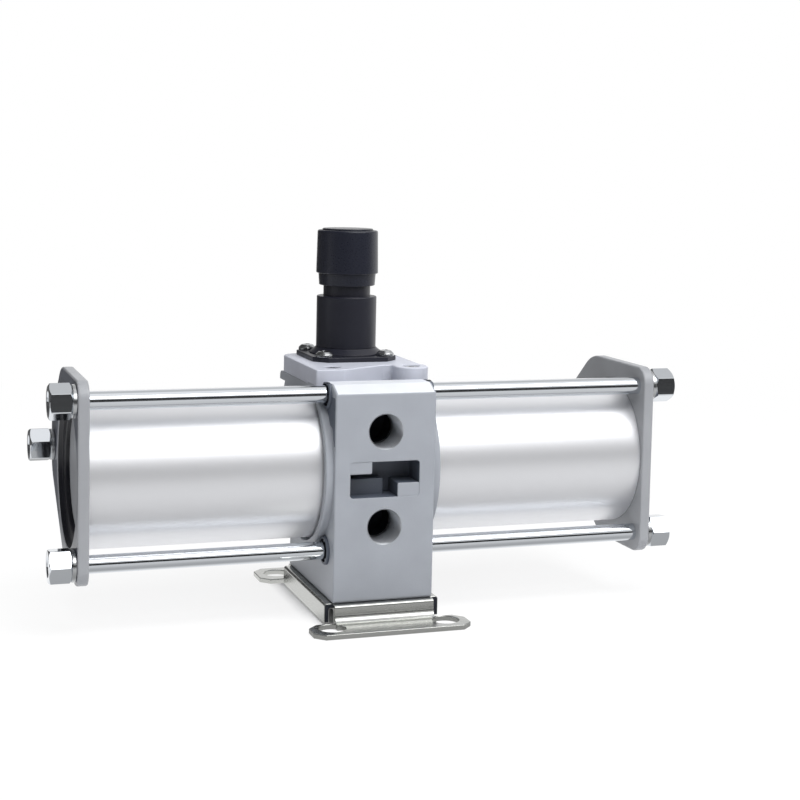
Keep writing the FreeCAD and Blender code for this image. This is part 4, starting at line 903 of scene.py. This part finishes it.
class BOOSTER_OT_bonnet(bpy.types.Operator):
    """Bonnet, its flange and its screws"""
    bl_idname = "booster.bonnet"
    bl_label = "Bonnet"

    def execute(self, context):
        """Square flange with cut corners and a turned cone; the bonnet with its neck is a turned profile."""
        shell = Shell()
        y, h, r = KNOB_AXIS[1], FLANGE_HALF, size("bonnet_radius")
        shell.plate(cut_rectangle(-h, h, y - h, y + h, FLANGE_CUT), BLOCK_TOP, FLANGE_TOP, "z", 0.4)
        cone = soft_profile([(FLANGE_TOP - 0.5, 0, 0), (FLANGE_TOP - 0.5, 17.6, 0),
                             (FLANGE_TOP + 0.5, 17.5, 0.3), (BONNET_LOW - 0.4, 14.9, 0.4),
                             (BONNET_LOW, 14.5, 0), (BONNET_LOW, 0, 0)])
        shell.turned(cone, "z", KNOB_AXIS, 128)
        build_piece("bonnet_flange", shell, ["black_metal"])
        shell = Shell()
        bore = SCREW_BORE_R
        profile = soft_profile([(BONNET_LOW, bore, 0), (BONNET_LOW, r, 0.3), (BONNET_TOP, r, 0.5),
                                (BONNET_TOP, NECK_R, 0.2), (NECK_TOP, NECK_R, 0.6), (NECK_TOP, bore, 0)])
        shell.turned(profile, "z", KNOB_AXIS, 128, closed=True)
        build_piece("governor_bonnet", shell, ["black_metal"])
        self.screws(y)
        return {"FINISHED"}

    def screws(self, y):
        """Pan head screws: a flattened dome over a shank, turned, with a round dip in the middle."""
        shell = Shell()
        seat = FLANGE_TOP + 0.01
        screw = soft_profile([(95.6, 0, 0), (95.6, 1.9, 0.2), (seat, 1.9, 0), (seat, 4.2, 0.2),
                              (115.9, 4.15, 0.8), (117.2, 2.8, 1.4), (117.5, 1.3, 0.3), (116.5, 0.7, 0),
                              (116.1, 0, 0)])
        for a in (-FLANGE_SCREW, FLANGE_SCREW):
            for b in (-FLANGE_SCREW, FLANGE_SCREW):
                shell.turned(screw, "z", (a, y + b), 32)
        build_piece("flange_screws", shell, ["zinc_steel"])


class BOOSTER_OT_knob(bpy.types.Operator):
    """Adjusting knob and its cap"""
    bl_idname = "booster.knob"
    bl_label = "Adjusting knob"

    def execute(self, context):
        """Turned skirt and grip with a step between them, and the turned hollow that goes over the neck."""
        r = size("knob_radius")
        shell = Shell()
        profile = soft_profile([(KNOB_LOW, KNOB_BORE_R, 0), (KNOB_LOW, 13.3, 0.4), (GRIP_LOW - 0.2, 13.7, 0),
                                (GRIP_LOW, 14.0, 0), (GRIP_LOW, r, 0.3), (GRIP_LOW + 0.7, r, 0.3),
                                (GRIP_TOP, r - 0.4, 0.9), (GRIP_TOP, CAP_R + 0.2, 0.2),
                                (CAP_SEAT, CAP_R + 0.2, 0), (CAP_SEAT, 0, 0)])
        shell.turned(profile, "z", KNOB_AXIS, 192)
        hollow = soft_profile([(KNOB_LOW, KNOB_BORE_R, 0), (KNOB_BORE_TOP, KNOB_BORE_R, 0.3),
                               (KNOB_BORE_TOP, 0, 0)])
        shell.turned(hollow, "z", KNOB_AXIS, 192)
        build_piece("adjusting_knob", shell, ["black_plastic"], body="knob")
        shell = Shell()
        seat = CAP_SEAT + 0.02
        cap = soft_profile([(seat, 0, 0), (seat, CAP_R, 0.2), (CAP_TOP, CAP_R, 0.5), (CAP_TOP, 0, 0)])
        shell.turned(cap, "z", KNOB_AXIS, 128)
        build_piece("knob_cap", shell, ["black_plastic"], body="knob")
        return {"FINISHED"}


class BOOSTER_OT_bracket(bpy.types.Operator):
    """Folded mounting bracket"""
    bl_idname = "booster.bracket"
    bl_label = "Mounting bracket"

    def execute(self, context):
        """Folded sheet: its side profile carried along X, two feet with holes, and side lips whose profile
        is carried along Y, with a plate of painted shade before each end of the lips, for the shade inside."""
        shell = Shell()
        t, top, front, back = SHEET_T, BRACKET_TOP, BRACKET_FRONT, BRACKET_BACK
        over = t + 0.02
        folded = [(front - FOOT_IN, 0, 0), (front + t, 0, 3), (front + t, top - t, BEND_IN),
                  (back - t, top - t, BEND_IN), (back - t, 0, 3), (back + FOOT_IN, 0, 0),
                  (back + FOOT_IN, over, 0), (back, over, BEND_LOW), (back, top, BEND_OUT),
                  (front, top, BEND_OUT), (front, over, BEND_LOW), (front - FOOT_IN, over, 0)]
        shell.plate(rounded_loop(folded, 10.0), -BRACKET_HALF, BRACKET_HALF, "x", 0.25)
        hole_x, hole_y = FOOT_HOLES
        for near, far, s in ((-FOOT_EDGE, front - 0.2, -1), (back + 0.2, FOOT_EDGE, 1)):
            holes = [(circle_loop(x, s * hole_y, FOOT_HOLE_R), None) for x in (-hole_x, hole_x)]
            foot = cut_rectangle(-FOOT_HALF, FOOT_HALF, near, far, FOOT_CUT)
            shell.plate(foot, 0, t, "z", 0.35, holes)
        x, low = LIP_HALF, LIP_LOW
        lips = rounded_loop([(-x, low, 0), (-x + t, low, 0), (-x + t, top - t, BEND_IN),
                             (x - t, top - t, BEND_IN), (x - t, low, 0), (x, low, 0), (x, top, BEND_OUT),
                             (-x, top, BEND_OUT)], 10.0)
        ends = (front + LIP_SET_BACK, back - LIP_SET_BACK)
        shell.plate(lips, ends[0], ends[1], "y", 0.4)
        # Painted shade: dark plates in the lips' open ends.
        shell.mark = 1
        for y, s in zip(ends, (-1, 1)):
            shell.plate(offset_loop(lips, -0.3), y - s * 0.2, y + s * 0.05, "y", 0.05)
        build_piece("mounting_bracket", shell, ["plated_sheet", "painted_shade_dark"])
        return {"FINISHED"}


class BOOSTER_OT_stage(bpy.types.Operator):
    """Floor, studio walls, lamps and camera"""
    bl_idname = "booster.stage"
    bl_label = "Stage"

    def execute(self, context):
        """Pale floor, soft world, two large lamps and the camera."""
        self.floor()
        self.world()
        self.lamps()
        self.camera()
        context.scene.view_settings.view_transform = "Standard"
        return {"FINISHED"}

    def floor(self):
        """Plane under the feet. To the camera it is white but for the object's shadow, darkest right under
        it. Reflections see it white under the object, grey in front, dark further off there and behind at
        the left."""
        mesh = bpy.data.meshes.new("floor")
        ends = (-FLOOR_REACH, FLOOR_REACH)
        corners = [(x, y, FLOOR_Z) for x in ends for y in ends]
        mesh.from_pydata(corners, [], [(0, 2, 3, 1)])
        floor = bpy.data.objects.new("floor", mesh)
        bpy.context.scene.collection.objects.link(floor)
        material, tree, shader = new_material("matt_white_floor", Base_Color=list(prop("stage").floor_colour),
                                              Roughness=0.9, Specular_IOR_Level=0.0)
        place = add_node(tree, "TexCoord").outputs["Object"]
        spot = add_node(tree, "SeparateXYZ", {"Vector": place})
        apart = add_node(tree, "VectorMath", {0: place}, operation="ABSOLUTE").outputs[0]
        past = add_node(tree, "VectorMath", {0: apart, 1: FOOTPRINT}, operation="SUBTRACT")
        sides = add_node(tree, "SeparateXYZ", {"Vector": past.outputs[0]})
        outside = calc(tree, "MAXIMUM", sides.outputs["X"], sides.outputs["Y"])
        shown = levels(tree, outside, 0.0, 1.0, FLOOR_SHOWN)
        ahead = levels(tree, spot.outputs["Y"], -1.0, 0.0, FLOOR_AHEAD)
        left = levels(tree, spot.outputs["X"], -0.2, 0.0, FLOOR_LEFT)
        behind = levels(tree, spot.outputs["Y"], 0.0, 0.5, FLOOR_BEHIND)
        mirrored = calc(tree, "MULTIPLY", ahead, calc(tree, "MAXIMUM", left, behind))
        white = add_node(tree, "Emission", {"Color": WHITE, "Strength": 1.0})
        seen = add_node(tree, "Emission", {"Color": mirrored, "Strength": 1.0})
        path = add_node(tree, "LightPath")
        to_camera = calc(tree, "MULTIPLY", path.outputs["Is Camera Ray"], shown)
        glossy = calc(tree, "MULTIPLY", path.outputs["Is Glossy Ray"], FLOOR_GLOSSY)
        mix = blend(tree, glossy, blend(tree, to_camera, shader, white), seen)
        tree.links.new(mix.outputs[0], tree.nodes["Material Output"].inputs["Surface"])
        mesh.materials.append(material)

    def world(self):
        """White to the camera. For reflections and light it follows the angle about the X axis: a dark line
        above the horizon in front, white walls, a greyer ceiling; all of it dark towards the left."""
        world = bpy.data.worlds.new("studio")
        bpy.context.scene.world = world
        world.use_nodes = True
        tree = world.node_tree
        place = add_node(tree, "TexCoord").outputs["Generated"]
        split = add_node(tree, "SeparateXYZ", {"Vector": place})
        angle = calc(tree, "ARCTAN2", split.outputs["Z"], calc(tree, "MULTIPLY", split.outputs["Y"], -1.0))
        studio = levels(tree, angle, 0.0, math.pi, WORLD_STOPS)
        left = levels(tree, split.outputs["X"], -1.0, 1.0, WORLD_MIRRORED)
        shade = levels(tree, split.outputs["X"], -1.0, 1.0, WORLD_SHADE)
        lit, seen = calc(tree, "MULTIPLY", studio, shade), calc(tree, "MULTIPLY", studio, left)
        light = add_node(tree, "Background", {"Color": lit, "Strength": prop("stage").world_level})
        mirrored = add_node(tree, "Background", {"Color": seen, "Strength": 1.0})
        white = add_node(tree, "Background", {"Color": WHITE, "Strength": 1.0})
        path = add_node(tree, "LightPath")
        around = blend(tree, path.outputs["Is Glossy Ray"], light, mirrored)
        mix = blend(tree, path.outputs["Is Camera Ray"], around, white)
        tree.links.new(mix.outputs[0], tree.nodes["World Output"].inputs["Surface"])

    def lamps(self):
        """Large soft lamps, each aimed at the object's middle."""
        for name, place, width, height, power, mirrored in LAMPS:
            light = bpy.data.lights.new(name, "AREA")
            light.shape = "RECTANGLE"
            light.size, light.size_y, light.energy = width, height, power
            lamp = bpy.data.objects.new(name, light)
            lamp.visible_glossy = mirrored
            lamp.location = place
            lamp.rotation_euler = (Vector(LAMP_AIM) - Vector(place)).to_track_quat("-Z", "Y").to_euler()
            bpy.context.scene.collection.objects.link(lamp)

    def camera(self):
        """Camera fitted to the photograph, turned by its yaw about Z, then its pitch, then its roll."""
        yaw, pitch, roll = (math.radians(a) for a in CAMERA_TURN)
        forward = Vector((math.sin(yaw) * math.cos(pitch), math.cos(yaw) * math.cos(pitch), math.sin(pitch)))
        level = Vector((math.cos(yaw), -math.sin(yaw), 0))
        upright = level.cross(forward)
        right = math.cos(roll) * level + math.sin(roll) * upright
        up = -math.sin(roll) * level + math.cos(roll) * upright
        data = bpy.data.cameras.new("camera")
        data.sensor_width, data.lens, data.shift_y = 36.0, prop("stage").lens, CAMERA_SHIFT
        camera = bpy.data.objects.new("camera", data)
        bpy.context.scene.collection.objects.link(camera)
        turn = Matrix((right, up, -forward)).transposed().to_4x4()
        camera.matrix_world = Matrix.Translation(CAMERA_PLACE) @ turn
        bpy.context.scene.camera = camera


class BOOSTER_PT_panel(bpy.types.Panel):
    """Sizes, colours and steps of the booster"""
    bl_idname = "BOOSTER_PT_panel"
    bl_label = "Booster"
    bl_space_type = "VIEW_3D"
    bl_region_type = "UI"
    bl_category = "Booster"

    def draw(self, context):
        """Lists the properties and the operators."""
        for name in GROUPS:
            group = prop(name)
            column = self.layout.column()
            for key in group.bl_rna.properties.keys():
                if key not in ("rna_type", "name"):
                    column.prop(group, key)
        for operator in STEPS:
            self.layout.operator(operator.bl_idname)


STEPS = (BOOSTER_OT_finishes, BOOSTER_OT_centre_body, BOOSTER_OT_tubes, BOOSTER_OT_covers, BOOSTER_OT_rods,
         BOOSTER_OT_block, BOOSTER_OT_bonnet, BOOSTER_OT_knob, BOOSTER_OT_bracket, BOOSTER_OT_stage)
GROUPS = {"sizes": BoosterSizes, "colours": BoosterColours, "stage": BoosterStage}


def register():
    """Registers the classes and hangs the property groups on the scene."""
    for kind in tuple(GROUPS.values()) + STEPS + (BOOSTER_PT_panel,):
        bpy.utils.register_class(kind)
    for name, kind in GROUPS.items():
        setattr(bpy.types.Scene, "booster_" + name, PointerProperty(type=kind))


def unregister():
    """Takes everything off again."""
    for name in GROUPS:
        delattr(bpy.types.Scene, "booster_" + name)
    for kind in reversed(tuple(GROUPS.values()) + STEPS + (BOOSTER_PT_panel,)):
        bpy.utils.unregister_class(kind)


def main():
    """Builds everything in order."""
    register()
    for step in STEPS:
        area, action = step.bl_idname.split(".")
        getattr(getattr(bpy.ops, area), action)()


if __name__ == "__main__":
    main()
